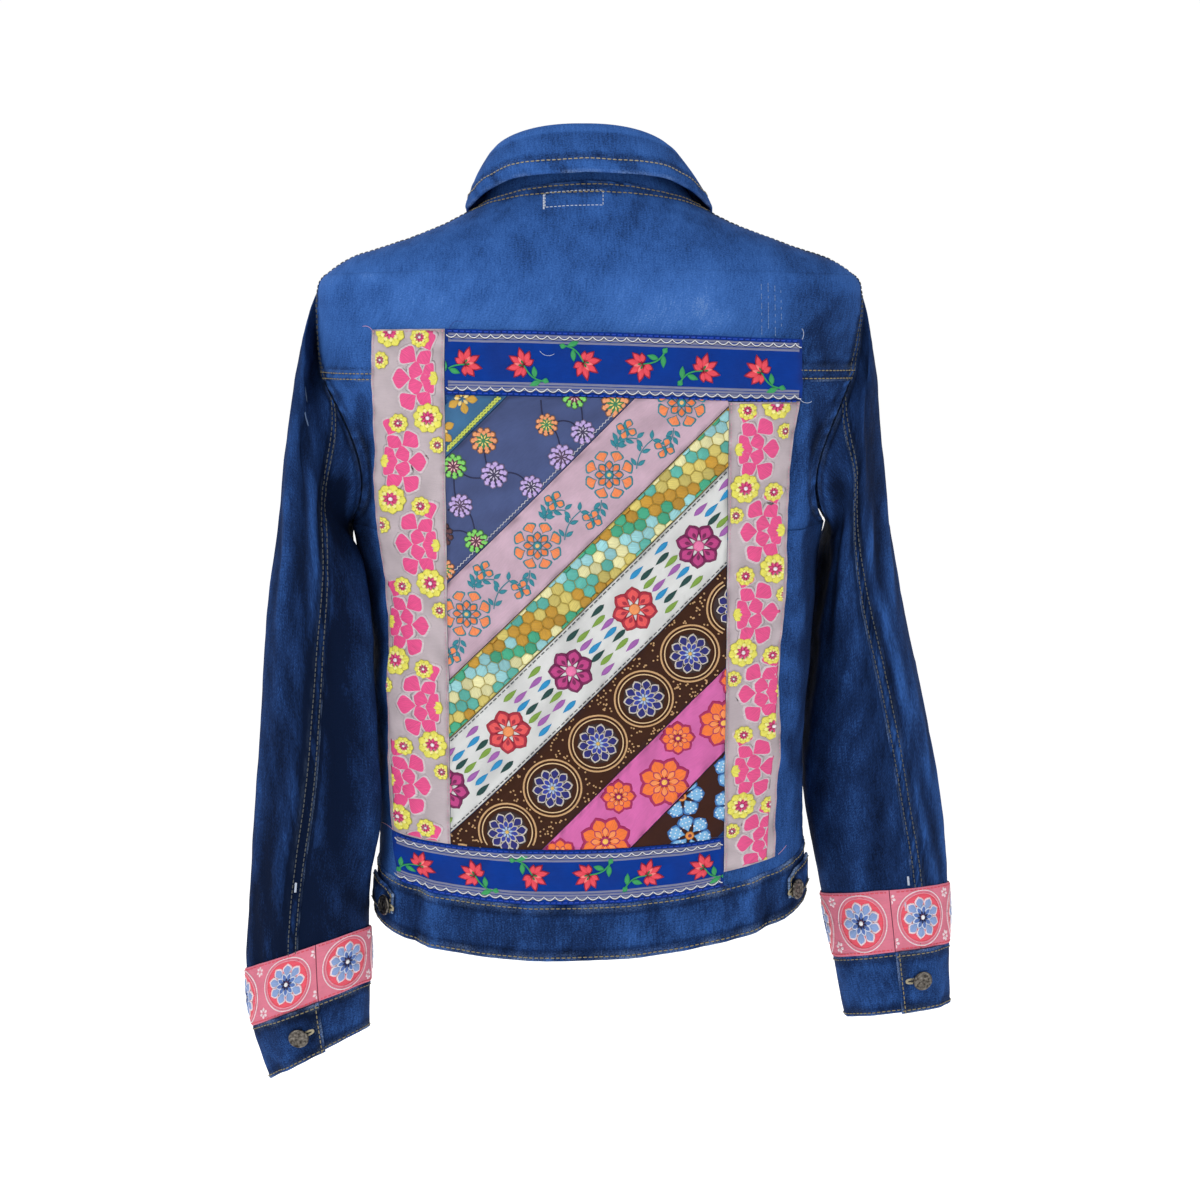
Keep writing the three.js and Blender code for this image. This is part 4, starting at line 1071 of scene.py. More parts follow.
denim_piece(
    "collar_stand", collar_grid(STAND_START, STAND_SHARE), DOUBLED,
    rows=[("bottom", 4, TAN_THREAD)], faced=True,
)
denim_piece(
    "collar", collar_grid(STAND_SHARE + 0.02, 3), DOUBLED,
    seams=[("top", {"width": 11.0, "rise": 0.6, "rope": 0.8, "wear": 0.35})],
    rows=[("top", 10, TAN_THREAD)], tone_shift=-0.02, faced=True,
)

# Sleeves, cuffs and the ribbons above the cuffs.
CUFF_RISE = DOUBLED + LIFT_ON_CLOTH
# The sleeves' areas, as for the body: mostly painted shade on their backs, from the armpit down.
SLEEVE_FADING_AND_SHADE = {
    "left": [
        [195, -220, 26, 90, -0.12],
        [200, -400, 50, 110, -0.24],
        [240, -560, 60, 80, -0.3],
        [240, -690, 60, 30, 0.02],
    ],
    "right": [
        [-212, -180, 22, 80, -0.12],
        [-190, -330, 26, 120, -0.06],
    ],
}
# The sleeves as a whole are darker: partly their dye and partly painted shade.
SLEEVE_FADE_AND_SHADE = -0.2
RIBBON_DYE = (226, 128, 150)
CUFF_COTTON = cotton_material("cuff_ribbon_ground", RIBBON_DYE, weave=1.2)


def sleeve_grid(sleeve, from_turn, to_turn, top, bottom, lift=0.0):
    def place(across, along):
        ring = mix(top, bottom, along)
        across, ring = np.broadcast_arrays(across, ring)
        turn = mix(from_turn(ring), to_turn(ring), across)
        return sleeve.surface(turn, ring, lift)

    return surface_grid(place)


def cuff_lift(sleeve, turn):
    """The cuff laps over its own start, where it buttons."""
    lap_start = np.radians(sleeve.lap_edge) - CUFF_LAP
    overlap = smooth((turn - (lap_start + FULL_TURN - CUFF_LAP * 0.55)) / (CUFF_LAP * 0.5))
    return BAND_PROUD + overlap * CUFF_RISE


for sleeve in (LEFT_SLEEVE, RIGHT_SLEEVE):
    side = sleeve.side
    areas = SLEEVE_FADING_AND_SHADE[side]

    def back_seam(ring, sleeve=sleeve):
        return np.radians(sleeve.seam.read(ring)["turn"])

    def underarm(ring, turns=0):
        return math.radians(UNDERARM_SEAM) + turns * FULL_TURN + 0 * ring

    cap_edge = {"width": 5.0, "rise": 0.3, "rope": 0.3, "wear": 0.2}
    felled = {"width": 10.0, "rise": 0.9, "rope": 0.6, "wear": 0.22}
    denim_piece(
        f"top_sleeve_{side}",
        sleeve_grid(
            sleeve, lambda ring: underarm(ring, -1), lambda ring: back_seam(ring) + 0.02, 0, sleeve.cuff_top,
        ),
        DENIM, seams=[("bottom", cap_edge), ("end", felled)],
        rows=[("end", 2.2, DARK_OLIVE), ("end", 8.2, DARK_OLIVE)], areas=areas, tone_shift=SLEEVE_FADE_AND_SHADE,
    )
    # The under sleeve is painted darker still, as shade.
    denim_piece(
        f"under_sleeve_{side}", sleeve_grid(sleeve, back_seam, underarm, 0, sleeve.cuff_top),
        DENIM, seams=[("bottom", cap_edge)], areas=areas, tone_shift=SLEEVE_FADE_AND_SHADE - 0.06,
    )
    lap_end = math.radians(sleeve.lap_edge) + FULL_TURN
    lap_start = lap_end - FULL_TURN - CUFF_LAP

    def on_cuff(across, along, sleeve=sleeve, lap_start=lap_start, lap_end=lap_end):
        turn = mix(lap_start, lap_end, across + 0 * along)
        ring = mix(sleeve.end, sleeve.cuff_top - 0.02, along + 0 * across)
        return sleeve.surface(turn, ring, cuff_lift(sleeve, turn))

    cuff_edge = {"width": 4.0, "rise": 0.4, "rope": 0.4, "wear": 0.5}
    denim_piece(
        f"cuff_{side}", surface_grid(on_cuff), DOUBLED,
        seams=[(edge, cuff_edge) for edge in ("bottom", "top", "end")],
        rows=[(edge, 3, OLIVE) for edge in ("bottom", "top", "end")],
        areas=areas, tone_shift=-0.12, faced=True,
    )

    def on_ribbon(across, along, sleeve=sleeve):
        turn = np.radians(sleeve.lap_edge) + mix(0, FULL_TURN - 0.01, across + 0 * along)
        ring = mix(sleeve.cuff_top - 0.02, sleeve.trim_top, along + 0 * across)
        return sleeve.surface(turn, ring, LIFT_ON_CLOTH + TRIM)

    ribbon = surface_grid(on_ribbon)
    pieces[f"cuff_ribbon_{side}"] = shell(f"cuff_ribbon_{side}_cloth", ribbon, TRIM, CUFF_COTTON)

# Patchwork, laid out in x and in height down the middle of the back.
LEFT_EDGE = Table("height x", [
    [-521, 146], [-479, 151.5], [-360, 151.5], [-320, 153], [-270, 155], [-200, 158], [-90, 159.5],
])
RIGHT_EDGE = Table("height x", [
    [-512, -141], [-460, -142], [-400, -143], [-360, -141], [-300, -145], [-210, -148], [-142, -155],
])
INNER_LEFT, INNER_RIGHT = 104.5, -101.5
TOP_LEFT, TOP_RIGHT = (-90, -137), (-97, -142)
BOTTOM_TOP, BOTTOM_BOTTOM = -479, -521
TOP_BAND_RIGHT = -156
STRIP_RIGHT_BOTTOM = -509
SLANT_EDGES = [-40, -79, -173, -247, -292, -365, -443, -510, -575]
HALF_GAP = SEAM_GAP / 2
# The patches rise over the yoke's seam, which shows at this height.
YOKE_SEAM_HEIGHT = -128


def back_level(height):
    level = np.array(height, float)
    for _ in range(12):
        level = level + height - TORSO.read(level)["back"]
    return level


def on_back(x, height, lift=0.0):
    x, height = np.broadcast_arrays(np.asarray(x, float), np.asarray(height, float))
    level = back_level(height)
    uneven = 0.4 * ripple(x, height, 26, 11) + 0.15 * ripple(x, height, 11, 12)
    uneven = uneven + 0.5 * bell(height - YOKE_SEAM_HEIGHT, 7)
    return torso(angle_at(x, level), level, PATCH_LIFT + uneven + lift)


def top_band_height(x, which):
    return mix(TOP_LEFT[which], TOP_RIGHT[which], (INNER_LEFT - x) / (INNER_LEFT - TOP_BAND_RIGHT))


def clip(outline, region):
    """The part of an outline that lies inside a convex region, whose corners run anticlockwise."""
    for k in range(len(region)):
        if len(outline) < 3:
            return outline
        a, b = region[k], region[(k + 1) % len(region)]
        inward = np.array([a[1] - b[1], b[0] - a[0]])
        depth = (outline - a) @ inward
        after, depth_after = np.roll(outline, -1, axis=0), np.roll(depth, -1)
        kept = []
        for point, nxt, d, d_nxt in zip(outline, after, depth, depth_after):
            if d >= 0:
                kept.append(point)
            if (d >= 0) != (d_nxt >= 0):
                kept.append(point + (nxt - point) * d / (d - d_nxt))
        outline = np.array(kept)
    return outline


def anticlockwise(outline):
    x, y = outline[:, 0], outline[:, 1]
    area = np.sum(x * np.roll(y, -1) - np.roll(x, -1) * y)
    return outline if area > 0 else outline[::-1]


def circle(centre, radius, corners=18):
    angle = np.arange(corners) * 2 * math.pi / corners
    return np.array(centre) + radius * np.stack([np.cos(angle), np.sin(angle)], -1)


def petal(centre, angle, inner, outer, width, tip=1.0, corners=7):
    """A petal that points away from a centre. tip above 1 makes it fuller at its far end."""
    t = np.linspace(0, 1, corners)
    half = width / 2 * np.sin(math.pi * t ** tip)
    reach = mix(inner, outer, t)
    sides = [np.stack([reach, half], -1), np.stack([reach, -half], -1)[-2:0:-1]]
    flat = np.concatenate(sides)[::-1]
    cos, sin = math.cos(angle), math.sin(angle)
    return np.array(centre) + flat @ np.array([[cos, sin], [-sin, cos]])


class Embroidery:
    """Raised thread on one patch. Its shapes are drawn in the patch's own plane and cut to its region."""

    LAYER = 0.16

    def __init__(self, place, region):
        self.place, self.region = place, anticlockwise(np.array(region, float))
        self.plane, self.lift, self.colours, self.grain, self.faces = [], [], [], [], []
        self.count = 0

    def add(self, plane, lift, colour, grain, faces):
        self.plane.append(plane)
        self.lift.append(lift)
        self.colours.append(np.tile(linear(*colour)[:3], (len(plane), 1)))
        cos, sin = math.cos(grain), math.sin(grain)
        self.grain.append(plane @ np.array([[-sin, cos], [cos, sin]]))
        self.faces += [[self.count + k for k in face] for face in faces]
        self.count += len(plane)

    def cap(self, outline, colour, layer=0, rise=0.4, grain=0.0):
        """A low cushion of thread over an outline."""
        outline = clip(np.asarray(outline, float), self.region)
        n = len(outline)
        if n < 3:
            return
        centre = outline.mean(axis=0)
        shoulder = mix(centre, outline, 0.74)
        base = 0.1 + self.LAYER * layer
        lift = np.concatenate([np.full(n, base - 0.35), np.full(n, base + rise * 0.85), [base + rise]])
        after = [(k + 1) % n for k in range(n)]
        faces = [[k, after[k], n + after[k], n + k] for k in range(n)]
        faces += [[n + k, n + after[k], 2 * n] for k in range(n)]
        faces.append(list(range(n))[::-1])
        self.add(np.concatenate([outline, shoulder, centre[None]]), lift, colour, grain, faces)

    def stroke(self, path, width, colour, layer=0, rise=0.35):
        """A cord of thread along a path, cut where the path leaves the region."""
        path = np.asarray(path, float)
        depth = np.full(len(path), 1e9)
        for k in range(len(self.region)):
            a, b = self.region[k], self.region[(k + 1) % len(self.region)]
            inward = np.array([a[1] - b[1], b[0] - a[0]])
            depth = np.minimum(depth, (path - a) @ inward / np.linalg.norm(inward))
        inside = depth > width * 0.4
        breaks = np.flatnonzero(np.diff(inside.astype(int)))
        for part in np.split(np.arange(len(path)), breaks + 1):
            if inside[part[0]] and len(part) > 1:
                self.cord(path[part], width, colour, layer, rise)

    def cord(self, path, width, colour, layer, rise):
        ahead = unit(np.gradient(path, axis=0))
        side = np.stack([-ahead[:, 1], ahead[:, 0]], -1) * width / 2
        n = len(path)
        base = 0.1 + self.LAYER * layer
        plane = np.concatenate([path + side, path + side * 0.55, path - side * 0.55, path - side])
        lift = np.repeat([base - 0.35, base + rise, base + rise, base - 0.35], n)
        faces = []
        for k in range(n - 1):
            for lane in range(3):
                low = lane * n + k
                faces.append([low + 1, low, low + n, low + n + 1])
            faces.append([k, k + 1, 3 * n + k + 1, 3 * n + k])
        for k in (0, n - 1):
            ends = [k, n + k, 2 * n + k, 3 * n + k]
            faces.append(ends if k == 0 else ends[::-1])
        heading = math.atan2(*(path[-1] - path[0])[::-1])
        self.add(plane, lift, colour, heading, faces)

    def flower(self, centre, petals, inner, outer, width, colour, layer=0, turn=0.0, tip=1.2, rise=0.4):
        for k in range(petals):
            angle = turn + 2 * math.pi * k / petals
            self.cap(petal(centre, angle, inner, outer, width, tip), colour, layer + 0.07 * k, rise, angle)

    def disc(self, centre, radius, colour, layer=0, rise=0.4, corners=18):
        self.cap(circle(centre, radius, corners), colour, layer, rise)

    def ring(self, centre, radius, width, colour, layer=0, rise=0.3, corners=40):
        path = circle(centre, radius, corners)
        self.stroke(np.concatenate([path, path[:1]]), width, colour, layer, rise)

    def mesh(self, name):
        plane, lift = np.concatenate(self.plane), np.concatenate(self.lift)
        points = self.place(plane[:, 0], plane[:, 1], lift)[0]
        colours, grain = np.concatenate(self.colours), np.concatenate(self.grain)
        obj = make_mesh(name, points, [self.faces], colours=colours, uv=grain)
        obj.data.materials.append(THREAD)
        return obj


# Each patch's cloth, and its embroidery.
BEIGE = (211, 197, 203)
STRIP_THREAD = (224, 168, 190)
ROYAL = (10, 62, 160)
embroideries = {}
PATCH_PITCH = 2.4
# The row that sews a patch's edge down: how far in it lies and how wide it pulls.
HEM_ROW, HEM_WIDTH = 1.6, 1.2


def patch(node, place, material, hem=None):
    """A patch's cloth, hemmed with thread of its own colour; place(across, along) gives x and height."""
    grid = surface_grid(lambda across, along: on_back(*place(across, along)), PATCH_PITCH)
    for k, edge in enumerate(("start", "end", "bottom", "top")):
        distance = getattr(grid, edge)
        pull = ripple(grid.run(edge), distance, 14, len(pieces) + k) * bell(distance, 5)
        grid.height += 0.3 * pull - 0.25 * bell(distance - HEM_ROW, HEM_WIDTH)
        # The puckers' painted light and shade, and painted shade in the hem row's dent.
        grid.fade += 0.2 * pull - 0.16 * bell(distance - HEM_ROW, HEM_WIDTH)
    grid.fade += 0.12 * ripple(grid.start, grid.bottom, 38, len(pieces)) - 0.05
    pieces[node] = shell(f"{node}_cloth", grid, TRIM, material)
    if hem:
        for edge in ("start", "end", "top"):
            topstitch.row(*grid.line(edge, 1.7), pitch=3.0, length=2.2, radius=0.3, colour=hem, skip=0.05)


def strip_left_place(across, along):
    across, along = np.broadcast_arrays(across, along)
    height = mix(BOTTOM_TOP + SEAM_GAP, TOP_LEFT[0], along)
    return mix(INNER_LEFT + HALF_GAP, LEFT_EDGE.read(height)["x"], across), height


def strip_right_place(across, along):
    across, along = np.broadcast_arrays(across, along)
    height = mix(STRIP_RIGHT_BOTTOM, TOP_RIGHT[1] - SEAM_GAP, along)
    return mix(RIGHT_EDGE.read(height)["x"], INNER_RIGHT - HALF_GAP, across), height


def top_band_place(across, along):
    across, along = np.broadcast_arrays(across, along)
    x = mix(TOP_BAND_RIGHT, INNER_LEFT - HALF_GAP, across)
    return x, mix(top_band_height(x, 1), top_band_height(x, 0), along)


def bottom_band_place(across, along):
    across, along = np.broadcast_arrays(across, along)
    height = mix(BOTTOM_BOTTOM, BOTTOM_TOP, along)
    return mix(INNER_RIGHT + HALF_GAP, LEFT_EDGE.read(height)["x"], across), height


FLORAL = cotton_material("floral_cotton", BEIGE, mottle=0.08)
BAND = cotton_material("band_ribbon", ROYAL, mottle=0.15)
patch("strip_left", strip_left_place, FLORAL, STRIP_THREAD)
patch("strip_right", strip_right_place, FLORAL, STRIP_THREAD)
patch("ribbon_top", top_band_place, BAND)
patch("ribbon_bottom", bottom_band_place, BAND)

HOT_PINK, PALE_YELLOW = (232, 80, 140), (233, 226, 96)


def bordered(place, margin=1.2):
    """An outline of four straight sides inside a patch, through its narrowest places."""
    along = np.linspace(0, 1, 41)
    low_x, height = place(np.zeros(41), along)
    high_x = place(np.ones(41), along)[0]
    corners = np.array([[0, height[0]], [0, height[0]], [0, height[-1]], [0, height[-1]]], float)
    left_slope = (low_x[-1] - low_x[0]) / (height[-1] - height[0])
    right_slope = (high_x[-1] - high_x[0]) / (height[-1] - height[0])
    left = np.max(low_x - left_slope * height)
    right = np.min(high_x - right_slope * height)
    corners[:, 0] = [
        left + left_slope * height[0], right + right_slope * height[0],
        right + right_slope * height[-1], left + left_slope * height[-1],
    ]
    middle = corners.mean(axis=0)
    return corners - np.sign(corners - middle) * margin


# Rows of a blossom's petals, as shares of its size: where they start and end, their width, number and spread.
BLOSSOM_ROWS = [
    {"inner": 0.46, "outer": 1.06, "width": 0.58, "count": 5, "spread": 1.25},
    {"inner": 0.2, "outer": 0.74, "width": 0.5, "count": 4, "spread": 0.95},
    {"inner": 0.02, "outer": 0.44, "width": 0.4, "count": 3, "spread": 0.75},
]


def fan(work, centre, angle, size):
    """Half a full blossom: rows of petals with pale rims that overlap like scales, round a yellow heart."""
    layer = 0
    for row in BLOSSOM_ROWS:
        for k in range(row["count"]):
            heading = angle + mix(-row["spread"], row["spread"], k / (row["count"] - 1))
            inner, outer, width = (size * row[part] for part in ("inner", "outer", "width"))
            scale = petal(centre, heading, inner, outer, width, 1.7, 11)
            work.cap(scale, BEIGE, layer, 0.2, heading)
            work.cap(mix(scale.mean(axis=0), scale, 0.91), HOT_PINK, layer + 0.6, 0.22, heading)
            layer += 0.25
    for lean in (-0.7, 0, 0.7):
        heart = petal(centre, angle + lean, 0, size * 0.22, size * 0.13, 1.3)
        work.cap(heart, PALE_YELLOW, layer + 1, 0.3, angle + lean)


def yellow_daisy(work, at, size, turn):
    work.flower(at, 9, size * 0.38, size, size * 0.62, PALE_YELLOW, 5, turn, 1.4, 0.3)
    work.flower(at, 9, size * 0.3, size * 0.66, size * 0.34, (246, 240, 150), 6, turn + 0.35, 1.3, 0.25)
    work.flower(at, 8, size * 0.14, size * 0.5, size * 0.12, HOT_PINK, 7, turn, 1.0)
    work.disc(at, size * 0.14, (245, 235, 240), 8, corners=10)


def floral_strip(node, place, seed):
    """Pink blossoms that open from either side of the strip by turns, with yellow daisies between them."""
    work = Embroidery(on_back, bordered(place))
    low, high = work.region[:, 1].min(), work.region[:, 1].max()
    left, right = work.region[:, 0].min(), work.region[:, 0].max()
    blossom_pitch = 62
    for k in range(-1, int((high - low) / blossom_pitch) + 2):
        height = high - 34 - k * blossom_pitch
        side = 1 if (k + seed) % 2 else -1
        edge, far = (right, left) if side > 0 else (left, right)
        fan(work, (edge - side * 3, height), math.pi if side > 0 else 0, 35)
        yellow_daisy(work, (far + side * 11, height + 33), 11.5, 0.2 * k)
        yellow_daisy(work, (far + side * 33, height + 29), 7.5, 0.5 * k)
        yellow_daisy(work, (far + side * 4, height + 13), 6.5, 0.3 * k)
    embroideries[node] = work.mesh(f"{node}_print")


floral_strip("strip_left", strip_left_place, 0)
floral_strip("strip_right", strip_right_place, 1)

BORDER_GREY, SPRIG_RED, SPRIG_DARK = (122, 126, 156), (236, 72, 88), (176, 34, 60)
SPRIG_GREEN, SCALLOP_WHITE = (52, 160, 92), (232, 234, 240)
SPRIG_PITCH = 43
# A sprig's petals: the angle of each from the sprig's own, and its length.
SPRIG_PETALS = (
    (-2.05, 8.5), (2.05, 8.5), (-1.4, 11.5), (1.4, 11.5), (-0.75, 13.5), (0.75, 13.5), (0, 13),
)


def sprig(work, at, angle):
    """A red blossom with slim pointed petals, on a green stem with two leaves."""
    at = np.array(at, float)
    cos, sin = math.cos(angle), math.sin(angle)
    turn = np.array([[cos, sin], [-sin, cos]])
    stem = np.stack([np.linspace(-21, 0, 10), 3.5 * np.sin(np.linspace(0, math.pi, 10))], -1) @ turn + at
    work.stroke(stem, 1.3, SPRIG_GREEN, 1)
    for where, lean, size in ((2, 0.95, 10), (4, -0.9, 9.5), (0, 0.3, 5)):
        work.cap(petal(stem[where], angle + lean, 0, size, 4.4, 0.9), SPRIG_GREEN, 1, 0.45, angle + lean)
    for lean, size in SPRIG_PETALS:
        outline = petal(at, angle + lean, 0.3, size, 5.6, 0.95)
        work.cap(outline, SPRIG_DARK, 2, 0.3, angle + lean)
        inner = mix(outline.mean(axis=0), outline, 0.84)
        work.cap(inner, SPRIG_RED, 3, 0.5, angle + lean)
    for lean in (-0.38, 0.38):
        work.cap(petal(at, angle + lean, 0.5, 7.5, 2.6, 1.1), (252, 128, 128), 5, 0.4, angle + lean)
    for lean in (-0.5, 0.5):
        work.cap(petal(at, angle + lean, 0.5, 4.6, 1.8, 1.3), (46, 120, 66), 6, 0.4, angle + lean)


def band(node, place, bottom, top, slope, first):
    """A woven ribbon: grey borders with a white scallop along each and a painted shadow just below it, and red
    sprigs on its blue middle.
    """
    across = np.array([0.0, 1.0])
    ends = place(across, np.array([0.5, 0.5]))[0]
    start_x, end_x = ends.max() - 0.5, ends.min() + 0.5
    length = start_x - end_x

    def on_band(s, t, lift):
        x = start_x - s
        return on_back(x, t + slope * s, lift)

    corners = [[0, bottom + 0.5], [length, bottom + 0.5], [length, top - 0.5], [0, top - 0.5]]
    work = Embroidery(on_band, corners)
    run = np.linspace(0.1, length - 0.1, 140)
    scallop_pitch = 8.2
    fine = np.linspace(0.6, length - 0.6, int(length / 0.75))
    for edge, side in ((bottom, 1), (top, -1)):
        across_by = (5.0, 7.2, 9.4) if side > 0 else (4.0, 6.2, 8.4)
        for by in across_by:
            work.stroke(np.stack([run, 0 * run + edge + side * by], -1), 2.3, BORDER_GREY, 0, 0.08)
        scallop = np.abs(np.sin(fine * math.pi / scallop_pitch)) ** 0.7 * 2.8
        line = edge + side * 3.4 + (3.0 - scallop if side > 0 else -scallop)
        # A painted shadow: a dark line just below each white scallop, on both borders.
        work.stroke(np.stack([fine, line - 0.55], -1), 0.7, (70, 66, 84), 1, 0.22)
        work.stroke(np.stack([fine, line], -1), 0.85, SCALLOP_WHITE, 2, 0.35)
        for start in np.arange(1.5, length - 4, 4.4):
            dash = np.linspace(start, start + 3.2, 3)
            work.stroke(np.stack([dash, 0 * dash + edge + side * 1.7], -1), 1.2, (20, 70, 190), 1, 0.3)
    middle = (bottom + top) / 2
    for k, start in enumerate(np.arange(first, length + 8, SPRIG_PITCH)):
        heading = (0.55, math.pi - 0.55, -0.6, math.pi + 0.6)[(k + (first > 30)) % 4]
        sprig(work, (start, middle - 3 * math.sin(heading)), heading)
    embroideries[node] = work.mesh(f"{node}_embroidery")


TOP_BAND_SLOPE = (TOP_RIGHT[0] - TOP_LEFT[0]) / (INNER_LEFT - TOP_BAND_RIGHT)
band("ribbon_top", top_band_place, TOP_LEFT[1], TOP_LEFT[0], TOP_BAND_SLOPE, 14)
band("ribbon_bottom", bottom_band_place, BOTTOM_BOTTOM, BOTTOM_TOP, 0.0, 20)


# Slanting ribbons. s runs up along a ribbon to the wearer's right, and t across it from its middle line.
ROOT_TWO = math.sqrt(2)
INNER_BOTTOM = BOTTOM_TOP + SEAM_GAP


class Slant:
    def __init__(self, order):
        self.upper, self.lower = SLANT_EDGES[order], SLANT_EDGES[order + 1]
        self.middle = (self.upper + self.lower) / 2 / ROOT_TWO
        self.half = (self.upper - self.lower) / 2 / ROOT_TWO
        box = np.array([[INNER_RIGHT, INNER_BOTTOM], [INNER_LEFT, INNER_BOTTOM],
                        [INNER_LEFT, TOP_LEFT[1]], [INNER_RIGHT, top_band_height(INNER_RIGHT, 1)]])
        reach, half = 800, self.half - 0.8
        lane = np.array([[-reach, -half], [reach, -half], [reach, half], [-reach, half]], float)
        self.region = clip(lane, anticlockwise(self.local(box[:, 0], box[:, 1])))
        self.from_s, self.to_s = self.region[:, 0].min(), self.region[:, 0].max()

    def local(self, x, height):
        return np.stack([(height - x) / ROOT_TWO, (height + x) / ROOT_TWO - self.middle], -1)

    def on_ribbon(self, s, t, lift):
        across = t + self.middle
        return on_back((across - s) / ROOT_TWO, (across + s) / ROOT_TWO, lift)

    def place(self, across, along):
        across, along = np.broadcast_arrays(across, along)
        edge = mix(self.lower + SEAM_GAP, self.upper - SEAM_GAP, along)
        top = top_band_height(edge + 140, 1) - SEAM_GAP
        right_end = np.maximum(INNER_RIGHT + HALF_GAP, edge - top)
        left_end = np.minimum(INNER_LEFT - HALF_GAP, edge - INNER_BOTTOM)
        x = mix(right_end, left_end, across)
        return x, edge - x

    def work(self):
        return Embroidery(self.on_ribbon, self.region)


GOLD, BRAID_GREEN = (206, 160, 62), (196, 208, 92)
slants = [Slant(order) for order in range(8)]


def decorate(order, cotton, draw):
    """One slanting ribbon: its cloth, and what draw embroiders on it."""
    slant = slants[order]
    node = f"slant_ribbon_{order + 1}"
    patch(node, slant.place, cotton)
    work = slant.work()
    draw(slant, work)
    embroideries[node] = work.mesh(f"{node}_embroidery")


def draw_corner(slant, work):
    """Gold satin blossoms, and a yellow-green braid along the lower edge."""
    for k, (back_by, t, turn) in enumerate(((24, 8, 0.4), (52, 3, 2.2), (6, 14, 1.2))):
        at = (slant.to_s - back_by, t)
        work.flower(at, 5, 1.5, 12, 6.5, GOLD, 0, turn, 1.3)
        work.flower(at, 5, 1, 6, 3, (240, 214, 140), 1, turn + 0.6)
    s = np.linspace(slant.from_s + 1, slant.to_s - 1, 70)
    for phase in (0, math.pi):
        t = -slant.half + 3.4 + 1.1 * np.sin(s * 1.1 + phase)
        work.stroke(np.stack([s, t], -1), 1.7, BRAID_GREEN, 2, 0.5)


SLATE_BLOOMS = [
    ((196, 172, 228), (62, 56, 84), (206, 196, 222)),
    ((240, 160, 110), (60, 130, 84), (246, 214, 120)),
    ((132, 214, 104), (96, 46, 70), (240, 190, 190)),
    ((96, 58, 62), (58, 44, 60), (214, 224, 244)),
    ((196, 172, 228), (84, 66, 92), (190, 170, 214)),
]


def layered_daisy(work, at, size, dyes, turn):
    """Small rounded petals in two rings, outlined like buttonhole stitch, round slim rays and a knot."""
    outer, inner, heart = dyes
    work.flower(at, 10, size * 0.5, size, size * 0.5, mix(np.array(outer), 30.0, 0.45), 1, turn, 1.4, 0.35)
    work.flower(at, 10, size * 0.5, size * 0.95, size * 0.4, outer, 2, turn, 1.4, 0.4)
    work.disc(at, size * 0.68, inner, 2, 0.35)
    work.flower(at, 9, size * 0.32, size * 0.74, size * 0.34, outer, 3, turn + 0.3, 1.3, 0.35)
    work.disc(at, size * 0.46, inner, 4, 0.3)
    work.flower(at, 8, size * 0.1, size * 0.46, size * 0.12, heart, 5, turn, 1.0, 0.3)


def draw_slate(slant, work):
    """Small layered daisies on dark wandering stems that branch, and a white zigzag along the lower edge."""
    rng = np.random.default_rng(5)
    stem_dark = (34, 38, 74)
    pitch = 29
    places = []
    for k in range(int((slant.to_s - slant.from_s) / pitch) + 2):
        for row, t in enumerate((21, -3, -24)):
            s = slant.from_s + 8 + k * pitch + (14 if row == 1 else 0) + rng.uniform(-3, 3)
            if (k + row) % 5 != 4:
                places.append((s, t + rng.uniform(-3.5, 3.5), row))
    for s, t, row in places:
        nexts = [q for q in places if q[2] == row + 1 and 2 < s - q[0] + 24 < 44]
        for other in nexts[:2]:
            bend = np.linspace(0, 1, 14)
            bow = 5 * np.sin(bend * math.pi) * (1 if row else -1)
            path = np.stack([mix(s, other[0], bend) + bow, mix(t, other[1], bend) + bow * 0.5], -1)
            work.stroke(path, 1.25, stem_dark, 0, 0.3)
    for k, (s, t, row) in enumerate(places):
        size = rng.uniform(8.4, 11.4)
        layered_daisy(work, (s, t), size, SLATE_BLOOMS[(k * 2 + row) % len(SLATE_BLOOMS)], rng.uniform(0, 1))
    zigzag = np.arange(slant.from_s, slant.to_s, 1.6)
    ups = -slant.half + 2.4 + 1.1 * (np.arange(len(zigzag)) % 2)
    work.stroke(np.stack([zigzag, ups], -1), 0.7, (206, 206, 214), 0, 0.3)


ORANGE, TEAL, ROSE_HEART = (244, 138, 84), (44, 134, 150), (236, 190, 120)


def spray(work, start, end, bow, leaves=5):
    """A teal stem from start to end with a pair of leaves at each step."""
    t = np.linspace(0, 1, 16)
    start, end = np.array(start, float), np.array(end, float)
    ahead = (end - start) / np.linalg.norm(end - start)
    side = np.array([-ahead[1], ahead[0]])
    path = start + np.outer(t, end - start) + np.outer(bow * np.sin(t * math.pi), side)
    work.stroke(path, 0.9, TEAL, 0)
    for k in range(leaves):
        place = 1 + int(k * 13 / max(1, leaves - 1))
        step = path[min(15, place + 1)] - path[place - 1]
        heading = math.atan2(step[1], step[0])
        for lean in (-0.75, 0.75):
            work.cap(petal(path[place], heading + lean, 0.6, 8.2, 3.6, 0.85), TEAL, 0, 0.45, heading + lean)


